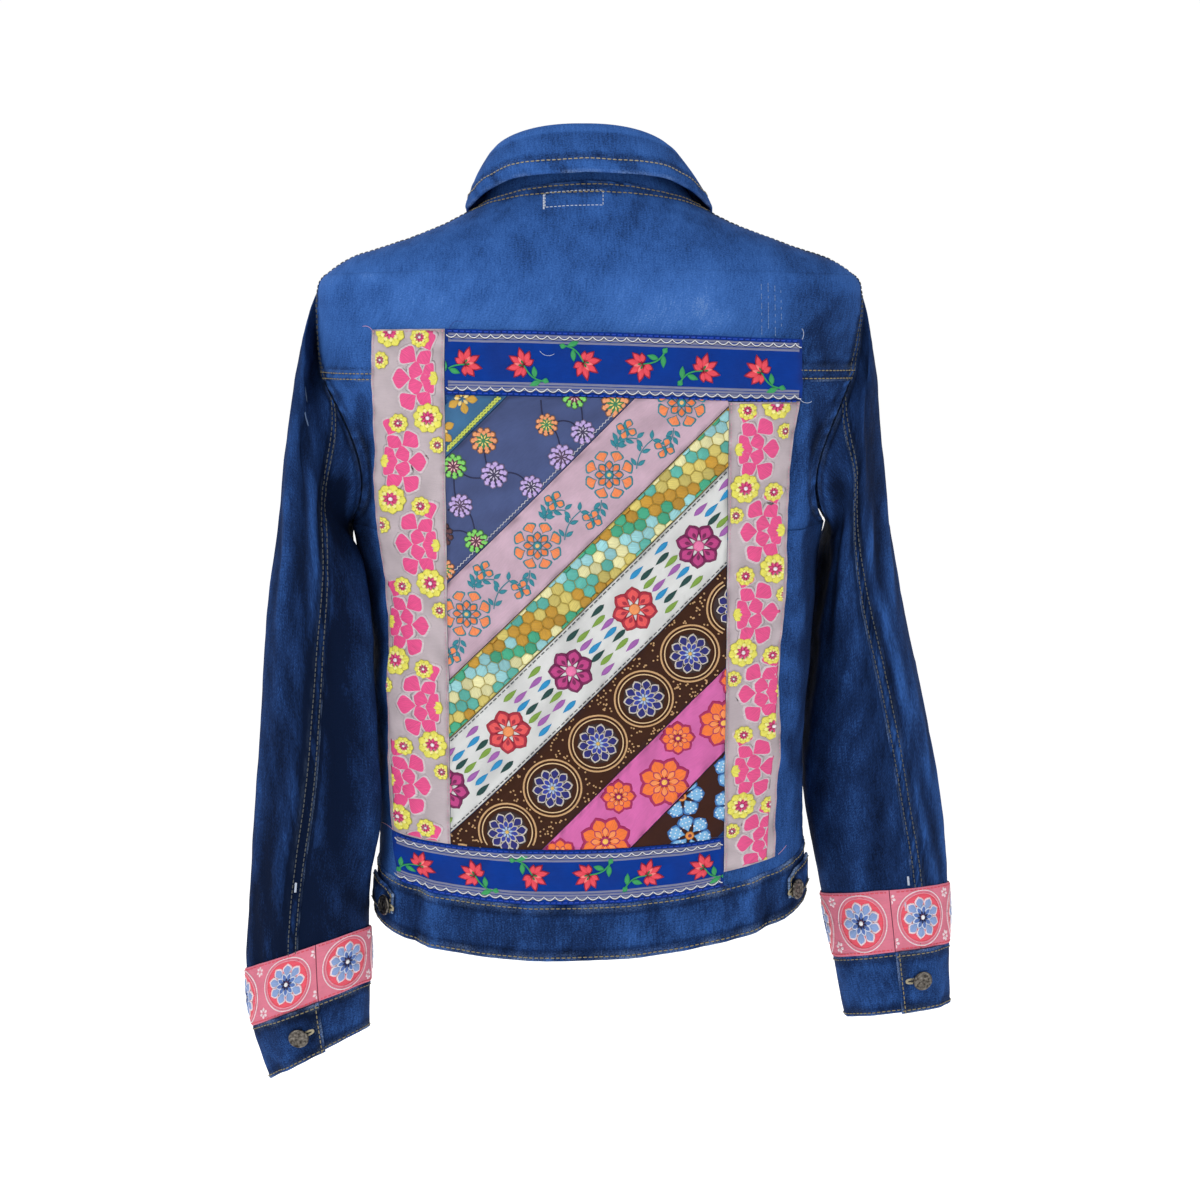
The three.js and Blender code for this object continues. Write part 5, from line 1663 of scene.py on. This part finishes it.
def draw_rose(slant, work):
    """Orange rosettes outlined in teal, joined by leafy stems with four-petalled blossoms beside them."""
    pitch = 74
    middle = slant.from_s + 46
    for k in range(-2, 4):
        s = middle + k * pitch
        work.flower((s, 0), 8, 9, 19.2, 12.2, TEAL, 0, math.pi / 8, 1.45, 0.25)
        work.flower((s, 0), 8, 9.6, 18.2, 9.6, ORANGE, 1, math.pi / 8, 1.45, 0.4)
        work.flower((s, 0), 8, 3, 10.8, 6.2, TEAL, 2, 0, 1.3, 0.25)
        work.flower((s, 0), 8, 3.4, 10.2, 4.8, (240, 124, 66), 3, 0, 1.3, 0.4)
        work.disc((s, 0), 3.4, TEAL, 4)
        work.disc((s, 0), 2.0, ROSE_HEART, 5, corners=10)
        for side in (-1, 1):
            blossom = (s + pitch / 2 - side * 5, side * 14.5)
            spray(work, (s + side * 17, side * 9), blossom if side > 0 else (s - pitch / 2 + 5, -14.5), 2, 4)
            spray(work, (s + 17, -side * 11), (s + pitch / 2 + side * 4, -side * 4), 3, 3)
            work.flower(blossom, 4, 0.8, 8.4, 6.6, TEAL, 1, 0.4, 1.35, 0.25)
            work.flower(blossom, 4, 1.1, 7.6, 5.2, ORANGE, 2, 0.4, 1.35, 0.4)
            work.disc(blossom, 1.5, TEAL, 3, corners=8)


MOSAIC_DYES = [
    (205, 155, 50), (70, 180, 140), (160, 220, 225), (245, 240, 180), (96, 190, 176), (224, 206, 112),
]


def draw_mosaic(slant, work):
    """Satin-stitched hexagons in clusters of seven, a ring of one dye round a heart of another."""
    side = 5.1
    rng = np.random.default_rng(9)
    column_pitch, row_pitch = side * 1.5, side * math.sqrt(3)
    first = int(slant.from_s / column_pitch) - 1
    columns = int((slant.to_s - slant.from_s) / column_pitch) + 3
    rows = int(slant.half / row_pitch) + 2
    for q in range(first, first + columns):
        for r in range(-rows, rows + 1):
            centre = (q * column_pitch, (r + 0.5 * (q % 2)) * row_pitch)
            group = math.floor((q + 2 * r + 1000) / 3) + 7 * math.floor((r + 0.5 * (q % 2) + 100) / 2.6)
            dye = MOSAIC_DYES[(group * 5 + (1 if rng.uniform() < 0.22 else 0)) % len(MOSAIC_DYES)]
            shade = 1 - 0.16 * rng.uniform()
            colour = tuple(channel * shade for channel in dye)
            work.cap(circle(centre, side * 1.03, 6), colour, 0, 0.8, rng.choice([0.2, 1.2, 2.3]))


LEAF_DYES = [(122, 158, 60), (18, 66, 62), (30, 140, 196), (158, 92, 170)]


def draw_white(slant, work):
    """Round-petalled blossoms with fans of slim leaves between them, and dark stitches along the edges."""
    pitch = 66
    for k, s in enumerate(np.arange(slant.from_s + 22, slant.to_s + pitch, pitch)):
        bloom, rim = ((232, 84, 84), (170, 40, 60)) if k % 2 else ((190, 60, 130), (120, 26, 84))
        work.flower((s, 0), 7, 3, 17.5, 12.5, rim, 1, 0.3 * k, 1.4, 0.4)
        work.flower((s, 0), 7, 3.4, 16.2, 9.6, bloom, 2, 0.3 * k, 1.4, 0.45)
        work.flower((s, 0), 7, 5, 11.5, 3.4, rim, 4, 0.3 * k, 1.3, 0.3)
        work.disc((s, 0), 4.2, (240, 150, 90) if k % 2 else (235, 120, 170), 4)
        for side in (-1, 1):
            for row in range(7):
                t = (row - 3) * 6.1
                start = s + side * (17.5 if row % 2 else 14.5 - 2 * (abs(row - 3) > 2))
                heading = 0 if side > 0 else math.pi
                dye = LEAF_DYES[(row + k + (side > 0)) % 4]
                work.cap(petal((start, t), heading, 0, 15.5, 4.6, 0.75), dye, 0, 0.5, heading)
    for t in (-slant.half + 1.8, slant.half - 1.8):
        for start in np.arange(slant.from_s, slant.to_s, 4.6):
            dash = np.linspace(start, start + 3, 3)
            work.stroke(np.stack([dash, 0 * dash + t], -1), 0.8, (50, 60, 70), 0, 0.25)


NAVY, TAN, PALE_BLUE = (28, 30, 112), (206, 164, 116), (176, 198, 232)


def draw_medallions(slant, work):
    """Ringed medallions, each with a navy blossom, on a ground speckled with tan knots."""
    pitch = 48
    centres = np.arange(slant.from_s - 8, slant.to_s + pitch, pitch)
    rng = np.random.default_rng(3)
    for _ in range(900):
        at = np.array([rng.uniform(slant.from_s, slant.to_s), rng.uniform(-slant.half, slant.half)])
        if np.min(np.hypot(centres - at[0], at[1])) > 23.4:
            work.disc(at, 0.85, TAN, 0, 0.5, 6)
    for s in centres:
        at = (s, 0)
        work.ring(at, 21.6, 1.7, TAN, 0)
        work.ring(at, 18.8, 1.1, (230, 196, 150), 0)
        work.disc(at, 17.6, (48, 30, 30), 0, 0.15, 30)
        work.flower(at, 10, 6, 15.6, 8.2, (214, 206, 196), 1, 0, 1.3, 0.3)
        work.flower(at, 10, 6.4, 14.9, 6.8, NAVY, 2, 0, 1.3, 0.4)
        work.flower(at, 10, 2, 9.6, 4.9, (214, 206, 196), 3, math.pi / 10, 1.25, 0.3)
        work.flower(at, 10, 2.2, 9.0, 3.8, (46, 60, 160), 4, math.pi / 10, 1.25, 0.4)
        work.flower(at, 8, 0.8, 5, 2, PALE_BLUE, 5, 0.2, 1.0, 0.3)
        work.disc(at, 1.6, (226, 186, 96), 6, corners=10)


BLOSSOM_ORANGE, PLUM = (246, 120, 50), (168, 34, 92)


def draw_pink(slant, work):
    """Orange daisies with plum outlines, one row large and the other small."""
    for k, s in enumerate(np.arange(slant.from_s + 6, slant.to_s + 40, 31)):
        at, size = ((s, -6), 21) if k % 2 else ((s, 11), 14)
        work.flower(at, 8, 2, size, size * 0.72, PLUM, 0, 0.4 * k, 1.45, 0.35)
        work.flower(at, 8, 2.4, size - 1.5, size * 0.56, BLOSSOM_ORANGE, 1, 0.4 * k, 1.45, 0.4)
        work.flower(at, 8, 2, size * 0.6, size * 0.34, PLUM, 2, 0.4 * k + 0.39, 1.4, 0.3)
        work.flower(at, 8, 2.2, size * 0.54, size * 0.24, (252, 150, 84), 3, 0.4 * k + 0.39, 1.4, 0.35)
        work.disc(at, size * 0.2, PLUM, 4)
        work.disc(at, size * 0.13, (252, 196, 90), 5, corners=12)


def draw_last(slant, work):
    """Pale blue blossoms with a fine white check across their petals, on brown."""
    for k, (s, t) in enumerate(((-8, -4), (30, -14), (10, 22), (52, 6))):
        at = (slant.from_s + 42 + s, t)
        work.flower(at, 6, 2, 18, 14.5, (62, 120, 186), 0, 0.7 * k, 1.5, 0.3)
        work.flower(at, 6, 2.6, 17, 12.6, (128, 186, 230), 1, 0.7 * k, 1.5, 0.3)
        for j in range(6):
            angle = 0.7 * k + j * math.pi / 3
            ahead = np.array([math.cos(angle), math.sin(angle)])
            across = np.array([-ahead[1], ahead[0]])
            for step in (7.5, 11, 14.5):
                for by in (-2.6, 0, 2.6):
                    check = circle(np.array(at) + step * ahead + by * across, 0.95, 4)
                    work.cap(check, (236, 242, 248), 2, 0.2)
        work.disc(at, 3.4, (236, 150, 70), 3)
        work.disc(at, 1.8, (120, 50, 60), 4, corners=10)


decorate(0, cotton_material("corner_cotton", (75, 125, 170)), draw_corner)
decorate(1, cotton_material("slate_cotton", (84, 98, 146)), draw_slate)
decorate(2, cotton_material("rose_cotton", (222, 190, 208)), draw_rose)
decorate(3, cotton_material("mosaic_cotton", (196, 176, 96)), draw_mosaic)
decorate(4, cotton_material("white_cotton", (250, 252, 250), mottle=0.05), draw_white)
decorate(5, cotton_material("brown_ribbon", (70, 42, 30)), draw_medallions)
decorate(6, cotton_material("pink_cotton", (240, 120, 190)), draw_pink)
decorate(7, cotton_material("brown_cotton", (70, 40, 32)), draw_last)

# The ribbons above the cuffs: a runs round the sleeve from the cuff's free edge and b up the ribbon.
CUFF_CORAL, CUFF_WHITE = (236, 84, 104), (248, 226, 232)
CUFF_BLUE, CUFF_DEEP = (136, 162, 212), (84, 116, 186)


def decorate_cuff(sleeve):
    shares = np.linspace(0, 1, 241)
    ring = sleeve.cuff_top - 0.5
    turns = math.radians(sleeve.lap_edge) + shares * (FULL_TURN - 0.01)
    path = sleeve.surface(turns, np.full(241, ring), LIFT_ON_CLOTH + TRIM)[0]
    reach = np.concatenate([[0], np.cumsum(np.linalg.norm(np.diff(path, axis=0), axis=1))])
    tall = 46.0

    def on_ribbon(a, b, lift):
        turn = np.interp(a, reach, turns)
        ring = mix(sleeve.cuff_top - 0.02, sleeve.trim_top, b / tall)
        return sleeve.surface(turn, ring, LIFT_ON_CLOTH + TRIM + lift)

    end = reach[-1] - 0.6
    work = Embroidery(on_ribbon, [[0.6, 0.7], [end, 0.7], [end, tall - 0.7], [0.6, tall - 0.7]])
    pitch = reach[-1] / round(reach[-1] / 47)
    for k in range(round(reach[-1] / pitch)):
        at = ((k + 0.5) * pitch, tall / 2)
        work.disc(at, 21.4, CUFF_CORAL, 0, 0.15, 36)
        work.ring(at, 20.6, 1.0, CUFF_WHITE, 1)
        work.ring(at, 18.2, 0.8, (244, 160, 176), 1)
        work.flower(at, 9, 5, 16.4, 8.8, CUFF_WHITE, 2, 0, 1.35, 0.3)
        work.flower(at, 9, 5.4, 15.6, 7.4, CUFF_BLUE, 3, 0, 1.35, 0.4)
        work.flower(at, 9, 2, 9.4, 4.8, (226, 232, 246), 4, math.pi / 9, 1.2, 0.3)
        work.flower(at, 9, 2.2, 8.8, 3.6, CUFF_DEEP, 5, math.pi / 9, 1.2, 0.4)
        work.flower(at, 9, 1.4, 5, 1.4, (24, 34, 90), 6, 0, 1.0, 0.3)
        work.disc(at, 1.8, (244, 246, 250), 7, corners=10)
        for side in (-1, 1):
            between = ((k + 1) * pitch, tall / 2 + side * 16)
            work.flower(between, 6, 0.8, 4.6, 2.6, CUFF_WHITE, 0, 0.3, 1.2)
    for edge in (1.8, tall - 1.8):
        for start in np.arange(1, reach[-1] - 4, 3.6):
            dash = np.linspace(start, start + 2.4, 3)
            work.stroke(np.stack([dash, 0 * dash + edge], -1), 1.1, CUFF_CORAL, 0, 0.3)
    node = f"cuff_ribbon_{sleeve.side}"
    embroideries[node] = work.mesh(f"{node}_embroidery")


for sleeve in (LEFT_SLEEVE, RIGHT_SLEEVE):
    decorate_cuff(sleeve)

# Small sewing: an empty stitched rectangle, faint scratches, bar tacks, buttonholes and loose thread ends.
PALE_THREAD, SCRATCH_BLUE, DARK_THREAD = (206, 216, 234), (122, 150, 192), (40, 44, 54)


def on_yoke(path, lift=0.0):
    path = np.array(path, float)
    level = back_level(path[:, 1])
    return torso(angle_at(path[:, 0], level), level, YOKE_FACE + lift)


def between(start, end, count=24):
    return mix(np.array(start, float), np.array(end, float), np.linspace(0, 1, count)[:, None])


BOX_LEFT, BOX_RIGHT, BOX_TOP, BOX_BOTTOM = 32.3, -10.3, 9.6, -1.4
box_corners = [
    (BOX_LEFT, BOX_BOTTOM),
    (BOX_LEFT, BOX_TOP),
    (BOX_RIGHT, BOX_TOP),
    (BOX_RIGHT, BOX_BOTTOM),
    (BOX_LEFT, BOX_BOTTOM),
]
for start, end in zip(box_corners, box_corners[1:]):
    line = on_yoke(between(start, end))
    topstitch.row(*line, pitch=2.9, length=2.3, radius=0.34, colour=PALE_THREAD, skip=0.06)
for by in (0.7, 1.3):
    left_bar = between((BOX_LEFT + by, BOX_BOTTOM - 1.5), (BOX_LEFT + by, BOX_TOP - 1))
    topstitch.row(*on_yoke(left_bar), pitch=1.9, length=2.2, radius=0.36, colour=PALE_THREAD, skip=0.1)
for x, top, bottom in ((-126.5, -57, -94), (-131.5, -56, -92), (-136.5, -58, -95), (-141, -59, -88)):
    line = between((x, top), (x, bottom), 40)
    topstitch.row(*on_yoke(line), pitch=2.4, length=2.3, radius=0.3, colour=SCRATCH_BLUE, skip=0.3, sink=0.2)


def local_place(surface, first, second):
    """place(a, b): points a and b millimetres from a place on a surface of two parameters."""
    first, second, step = np.array(float(first)), np.array(float(second)), 0.01
    here = surface(first, second)[0]
    pace_a = np.linalg.norm(surface(first + step, second)[0] - here) / step
    pace_b = np.linalg.norm(surface(first, second + step)[0] - here) / step
    return lambda a, b: surface(first + np.asarray(a) / pace_a, second + np.asarray(b) / pace_b)


def buttonhole(place, shift=0.0, length=19.0, width=5.2, colour=TAN_THREAD):
    """Close stitches all round a long slot, with a dark line down its middle."""
    angle = np.arange(56) * 2 * math.pi / 56
    cos, sin = np.cos(angle), np.sin(angle)
    round_a, round_b = np.sign(cos) * np.abs(cos) ** 0.55, np.sign(sin) * np.abs(sin) ** 0.75
    outer, normals = place(shift + round_a * length / 2, round_b * width / 2)
    inner = place(shift + round_a * (length / 2 - 1.9), round_b * (width / 2 - 1.9))[0]
    reach = outer - inner
    middle = (outer + inner) / 2 + normals * 0.2
    topstitch.capsules(middle, unit(reach), normals, np.linalg.norm(reach, axis=1) + 0.4, 0.42, colour)
    slot_a = np.linspace(shift - length / 2 + 2.2, shift + length / 2 - 2.2, 12)
    topstitch.row(*place(slot_a, 0 * slot_a), pitch=1.6, length=2.0, radius=0.5, colour=DARK_THREAD)


def bar_tack(place, length=7.5, colour=PALE_THREAD):
    """A short bar of close stitches across its own length."""
    a = np.arange(-length / 2, length / 2, 0.7)
    points, normals = place(a, 0 * a)
    side = unit(place(a, 0 * a + 1)[0] - points)
    topstitch.capsules(points + normals * 0.35, side, normals, np.full(len(a), 2.0), 0.42, colour)


def loose_end(points, normals, colour, radius=0.22):
    """A thread end that lies on the cloth along a path."""
    step = np.diff(points, axis=0)
    length = np.linalg.norm(step, axis=1)
    middle, up = (points[1:] + points[:-1]) / 2 + normals[1:] * radius, normals[1:]
    topstitch.capsules(middle, unit(step), up, length * 1.15, radius, colour)


def sleeve_spot(sleeve, x, z):
    """The turn and ring of the sleeve's back that show at x and z."""
    turn, ring = np.meshgrid(np.radians(np.arange(20, 165, 1.5)), np.arange(1, sleeve.end, 0.05))
    points = sleeve.surface(turn, ring)[0]
    nearest = np.argmin(np.hypot(points[..., 0] - x, points[..., 2] - z))
    return turn.ravel()[nearest], ring.ravel()[nearest]


TACKS = {"left": [(225, -517)], "right": [(-254, -532), (-253, -552)]}
CUFF_BUTTON_SHARE = 0.47
for sleeve in (LEFT_SLEEVE, RIGHT_SLEEVE):
    for x, z in TACKS[sleeve.side]:
        turn, ring = sleeve_spot(sleeve, x, z)

        def along_seam(a, b, sleeve=sleeve, turn=turn, ring=ring):
            return local_place(lambda r, t: sleeve.surface(t, r, 1.2), ring, turn)(a, b)

        bar_tack(along_seam)
    ring = mix(sleeve.cuff_top, sleeve.end, CUFF_BUTTON_SHARE)
    lap = local_place(
        lambda t, r, sleeve=sleeve: sleeve.surface(t, r, BAND_PROUD + CUFF_RISE),
        math.radians(sleeve.button), ring,
    )
    buttonhole(lap, shift=4.0)
    tab = local_place(
        lambda a, h: torso(a, h, TAB_FACE + 0.1),
        sleeve.sign * math.radians(mix(TAB_FROM, TAB_TO, TAB_BUTTON_SHARE)), TAB_BUTTON_LEVEL,
    )
    buttonhole(tab, shift=-2.0 * sleeve.sign, length=17)
for level in FRONT_BUTTON_LEVELS:
    angle = front_x(0, np.array(float(level)))
    face = local_place(lambda a, h: torso(a, h, LIFT_ON_CLOTH + DENIM + 0.1), angle, level)
    buttonhole(face, shift=3.0)

rng = np.random.default_rng(12)
LOOSE_ENDS = [
    (101, -92, 14, (40, 60, 140)),
    (158, -92, 10, STRIP_THREAD),
    (-155, -98, 9, PALE_THREAD),
    (-154, -140, 10, PALE_THREAD),
    (24, -108, 13, PALE_THREAD),
    (-101, -478, 9, (60, 70, 120)),
    (149, -478, 11, STRIP_THREAD),
    (-142, -508, 9, STRIP_THREAD),
    (-100, -520, 10, (30, 60, 150)),
    (146, -520, 9, (30, 60, 150)),
]
for x, height, length, colour in LOOSE_ENDS:
    heading = rng.uniform(0, 2 * math.pi)
    t = np.linspace(0, 1, 12)
    bend = rng.uniform(-2.2, 2.2)
    steps = np.stack([np.cos(heading + bend * t), np.sin(heading + bend * t)], -1) * length / 12
    path = np.array([x, height]) + np.cumsum(steps, axis=0)
    loose_end(*on_back(path[:, 0], path[:, 1], 0.5), colour)

# Buttons: turned from a profile of radius and height, with a ringed, dished face.
BUTTON_PROFILE = [
    [0, 0.3], [2.6, 0.3], [2.6, 1.2], [7.2, 1.2], [7.9, 1.6], [8, 2.3],
    [7.6, 2.95], [6.9, 3.25], [6.3, 3.1], [5.9, 2.75], [5.2, 2.7], [4.8, 2.95],
    [3.6, 3.0], [3.2, 2.7], [1.8, 2.65], [1.4, 2.95], [0, 3.05],
]
BUTTON_SIDES = 36


def metal_button(node, point, normal):
    """A button on the cloth at a point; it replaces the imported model's plain one."""
    up = unit(normal)
    side = unit(np.cross(up, [0.0, 0.3, 1.0]))
    other = np.cross(up, side)
    angle = np.arange(BUTTON_SIDES) * 2 * math.pi / BUTTON_SIDES
    points = []
    for radius, height in BUTTON_PROFILE[1:-1]:
        around = np.cos(angle)[:, None] * side + np.sin(angle)[:, None] * other
        points.append(point + up * (height + SEAM_GAP) + radius * around)
    rings = len(points)
    points = np.concatenate(points + [(point + up * (BUTTON_PROFILE[-1][1] + SEAM_GAP))[None]])
    faces = tube_faces(rings, BUTTON_SIDES)
    last = (rings - 1) * BUTTON_SIDES
    faces += [[last + k, last + (k + 1) % BUTTON_SIDES, len(points) - 1] for k in range(BUTTON_SIDES)]
    faces.append(list(range(BUTTON_SIDES))[::-1])
    obj = make_mesh(f"{node}_turned", points, [faces])
    obj.data.materials.append(METAL)
    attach(obj, "root")
    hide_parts(node)


BUTTON_SINK = 0.3
for k, level in enumerate(FRONT_BUTTON_LEVELS):
    height = np.array(float(level))
    seat = torso(front_x(0, height), height, LIFT_ON_CLOTH + DENIM - BUTTON_SINK)
    metal_button(f"front_button_{k + 1}", *seat)
BAND_MIDDLE = (HEM_LEVEL + BAND_LEVEL) / 2
metal_button("waistband_button", *torso(np.array(math.pi), np.array(BAND_MIDDLE), BAND_FACE))
for sleeve in (LEFT_SLEEVE, RIGHT_SLEEVE):
    ring = np.array(mix(sleeve.cuff_top, sleeve.end, CUFF_BUTTON_SHARE))
    seat = sleeve.surface(np.array(math.radians(sleeve.button)), ring, BAND_PROUD + CUFF_RISE)
    metal_button(f"cuff_button_{sleeve.side}", *seat)
    angle = np.array(sleeve.sign * math.radians(mix(TAB_FROM, TAB_TO, TAB_BUTTON_SHARE)))
    seat = torso(angle, np.array(float(TAB_BUTTON_LEVEL)), TAB_FACE)
    metal_button(f"tab_button_{sleeve.side}", *seat)

# Every cloth rides on the one body and stands for its node.
# Flat sizes of the cuts as they show, in millimetres, with areas in square centimetres.
CUTS = {
    "back_panel": {"width": 488, "length": 441, "area": 1730},
    "back_yoke": {"width": 502, "length": 232, "area": 731},
    "front_left": {"width": 272, "length": 413, "area": 880},
    "front_right": {"width": 234, "length": 398, "area": 735},
    "front_yoke_left": {"width": 256, "length": 244, "area": 331},
    "front_yoke_right": {"width": 220, "length": 244, "area": 290},
    "button_placket": {"width": 42, "length": 472, "area": 192},
    "waistband_back": {"width": 447, "length": 44, "area": 196},
    "waistband_left": {"width": 227, "length": 44, "area": 99},
    "waistband_right": {"width": 270, "length": 44, "area": 118},
    "side_tab_left": {"width": 47, "length": 24, "area": 11},
    "side_tab_right": {"width": 47, "length": 24, "area": 11},
    "collar_stand": {"width": 502, "length": 27, "area": 95},
    "collar": {"width": 599, "length": 125, "area": 404},
    "top_sleeve_left": {"width": 332, "length": 616, "area": 1035},
    "top_sleeve_right": {"width": 325, "length": 559, "area": 934},
    "under_sleeve_left": {"width": 192, "length": 486, "area": 391},
    "under_sleeve_right": {"width": 190, "length": 456, "area": 418},
    "cuff_left": {"width": 327, "length": 49, "area": 135},
    "cuff_right": {"width": 316, "length": 54, "area": 161},
    "cuff_ribbon_left": {"width": 309, "length": 51, "area": 141},
    "cuff_ribbon_right": {"width": 306, "length": 56, "area": 157},
    "strip_left": {"width": 63, "length": 390, "area": 232},
    "strip_right": {"width": 58, "length": 358, "area": 177},
    "ribbon_top": {"width": 268, "length": 49, "area": 127},
    "ribbon_bottom": {"width": 271, "length": 42, "area": 108},
    "slant_ribbon_1": {"width": 64, "length": 38, "area": 10},
    "slant_ribbon_2": {"width": 196, "length": 93, "area": 87},
    "slant_ribbon_3": {"width": 294, "length": 73, "area": 130},
    "slant_ribbon_4": {"width": 294, "length": 45, "area": 94},
    "slant_ribbon_5": {"width": 295, "length": 73, "area": 153},
    "slant_ribbon_6": {"width": 294, "length": 79, "area": 138},
    "slant_ribbon_7": {"width": 195, "length": 67, "area": 69},
    "slant_ribbon_8": {"width": 100, "length": 66, "area": 24},
}
for node, work in embroideries.items():
    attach(work, "root")
for node, cloth in pieces.items():
    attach(cloth, "root")
    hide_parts(node)
sewing = topstitch.mesh("topstitching")
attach(sewing, "root")
for node, cut in CUTS.items():
    extras = [embroideries[node]] if node in embroideries else []
    if node == "back_panel":
        extras.append(sewing)

# Camera, as the photograph was taken: from behind and a little above.
CAMERA_PLACE = (-0.0081, 1.715, -0.0341)
CAMERA_TILT = math.radians(81)
CAMERA_LENS = 66.2
lens = bpy.data.cameras.new("camera")
lens.lens, lens.sensor_width, lens.clip_end = CAMERA_LENS, 36, 100
camera = bpy.data.objects.new("camera", lens)
camera.location = CAMERA_PLACE
camera.rotation_euler = (CAMERA_TILT, 0, math.pi)
bpy.context.scene.collection.objects.link(camera)
bpy.context.scene.camera = camera


def area_light(name, place, target, size, power, colour=(1, 1, 1)):
    data = bpy.data.lights.new(name, "AREA")
    data.shape, data.size, data.energy, data.color = "DISK", size, power, colour
    light = bpy.data.objects.new(name, data)
    light.location = place
    aim = np.array(target) - np.array(place)
    tilt = math.acos(-aim[2] / np.linalg.norm(aim))
    light.rotation_euler = (tilt, 0, math.atan2(aim[1], aim[0]) - math.pi / 2)
    bpy.context.scene.collection.objects.link(light)


MIDDLE = (0, 0, -0.28)
area_light("key", (1.5, 1.9, 1.3), MIDDLE, 1.4, 34)
area_light("fill", (-1.9, 1.5, 0.4), MIDDLE, 1.8, 10)
area_light("front", (0.4, -2.4, 0.8), MIDDLE, 2.0, 26)

world = bpy.data.worlds.new("studio")
bpy.context.scene.world = world
world.use_nodes = True
world.node_tree.nodes["Background"].inputs["Color"].default_value = (1, 1, 1, 1)
world.node_tree.nodes["Background"].inputs["Strength"].default_value = 0.55
bpy.context.scene.view_settings.view_transform = "Standard"

FLOOR_LEVEL, FLOOR_REACH = -1400, 14000
floor_corners = ((-1, -1), (1, -1), (1, 1), (-1, 1))
floor_points = [[x * FLOOR_REACH, y * FLOOR_REACH, FLOOR_LEVEL] for x, y in floor_corners]
floor = make_mesh("floor", floor_points, [[[0, 1, 2, 3]]])
pale, _, pale_shader = new_material("floor_white", 0.9)
pale_shader.inputs["Base Color"].default_value = (0.9, 0.9, 0.9, 1)
pale_shader.inputs["Emission Color"].default_value = (1, 1, 1, 1)
pale_shader.inputs["Emission Strength"].default_value = 0.55
floor.data.materials.append(pale)

# A wide white studio dome that only the camera sees.
bpy.ops.mesh.primitive_uv_sphere_add(segments=48, ring_count=24, radius=13, location=(0, 0, -0.4))
dome = bpy.context.object
dome.name = "studio_dome"
dome.visible_diffuse = False
dome.visible_glossy = False
dome.visible_transmission = False
dome.visible_volume_scatter = False
dome.visible_shadow = False
glow, _, glow_shader = new_material("studio_white", 1.0)
glow_shader.inputs["Base Color"].default_value = (0, 0, 0, 1)
glow_shader.inputs["Emission Color"].default_value = (1, 1, 1, 1)
glow_shader.inputs["Emission Strength"].default_value = 1.0
dome.data.materials.append(glow)
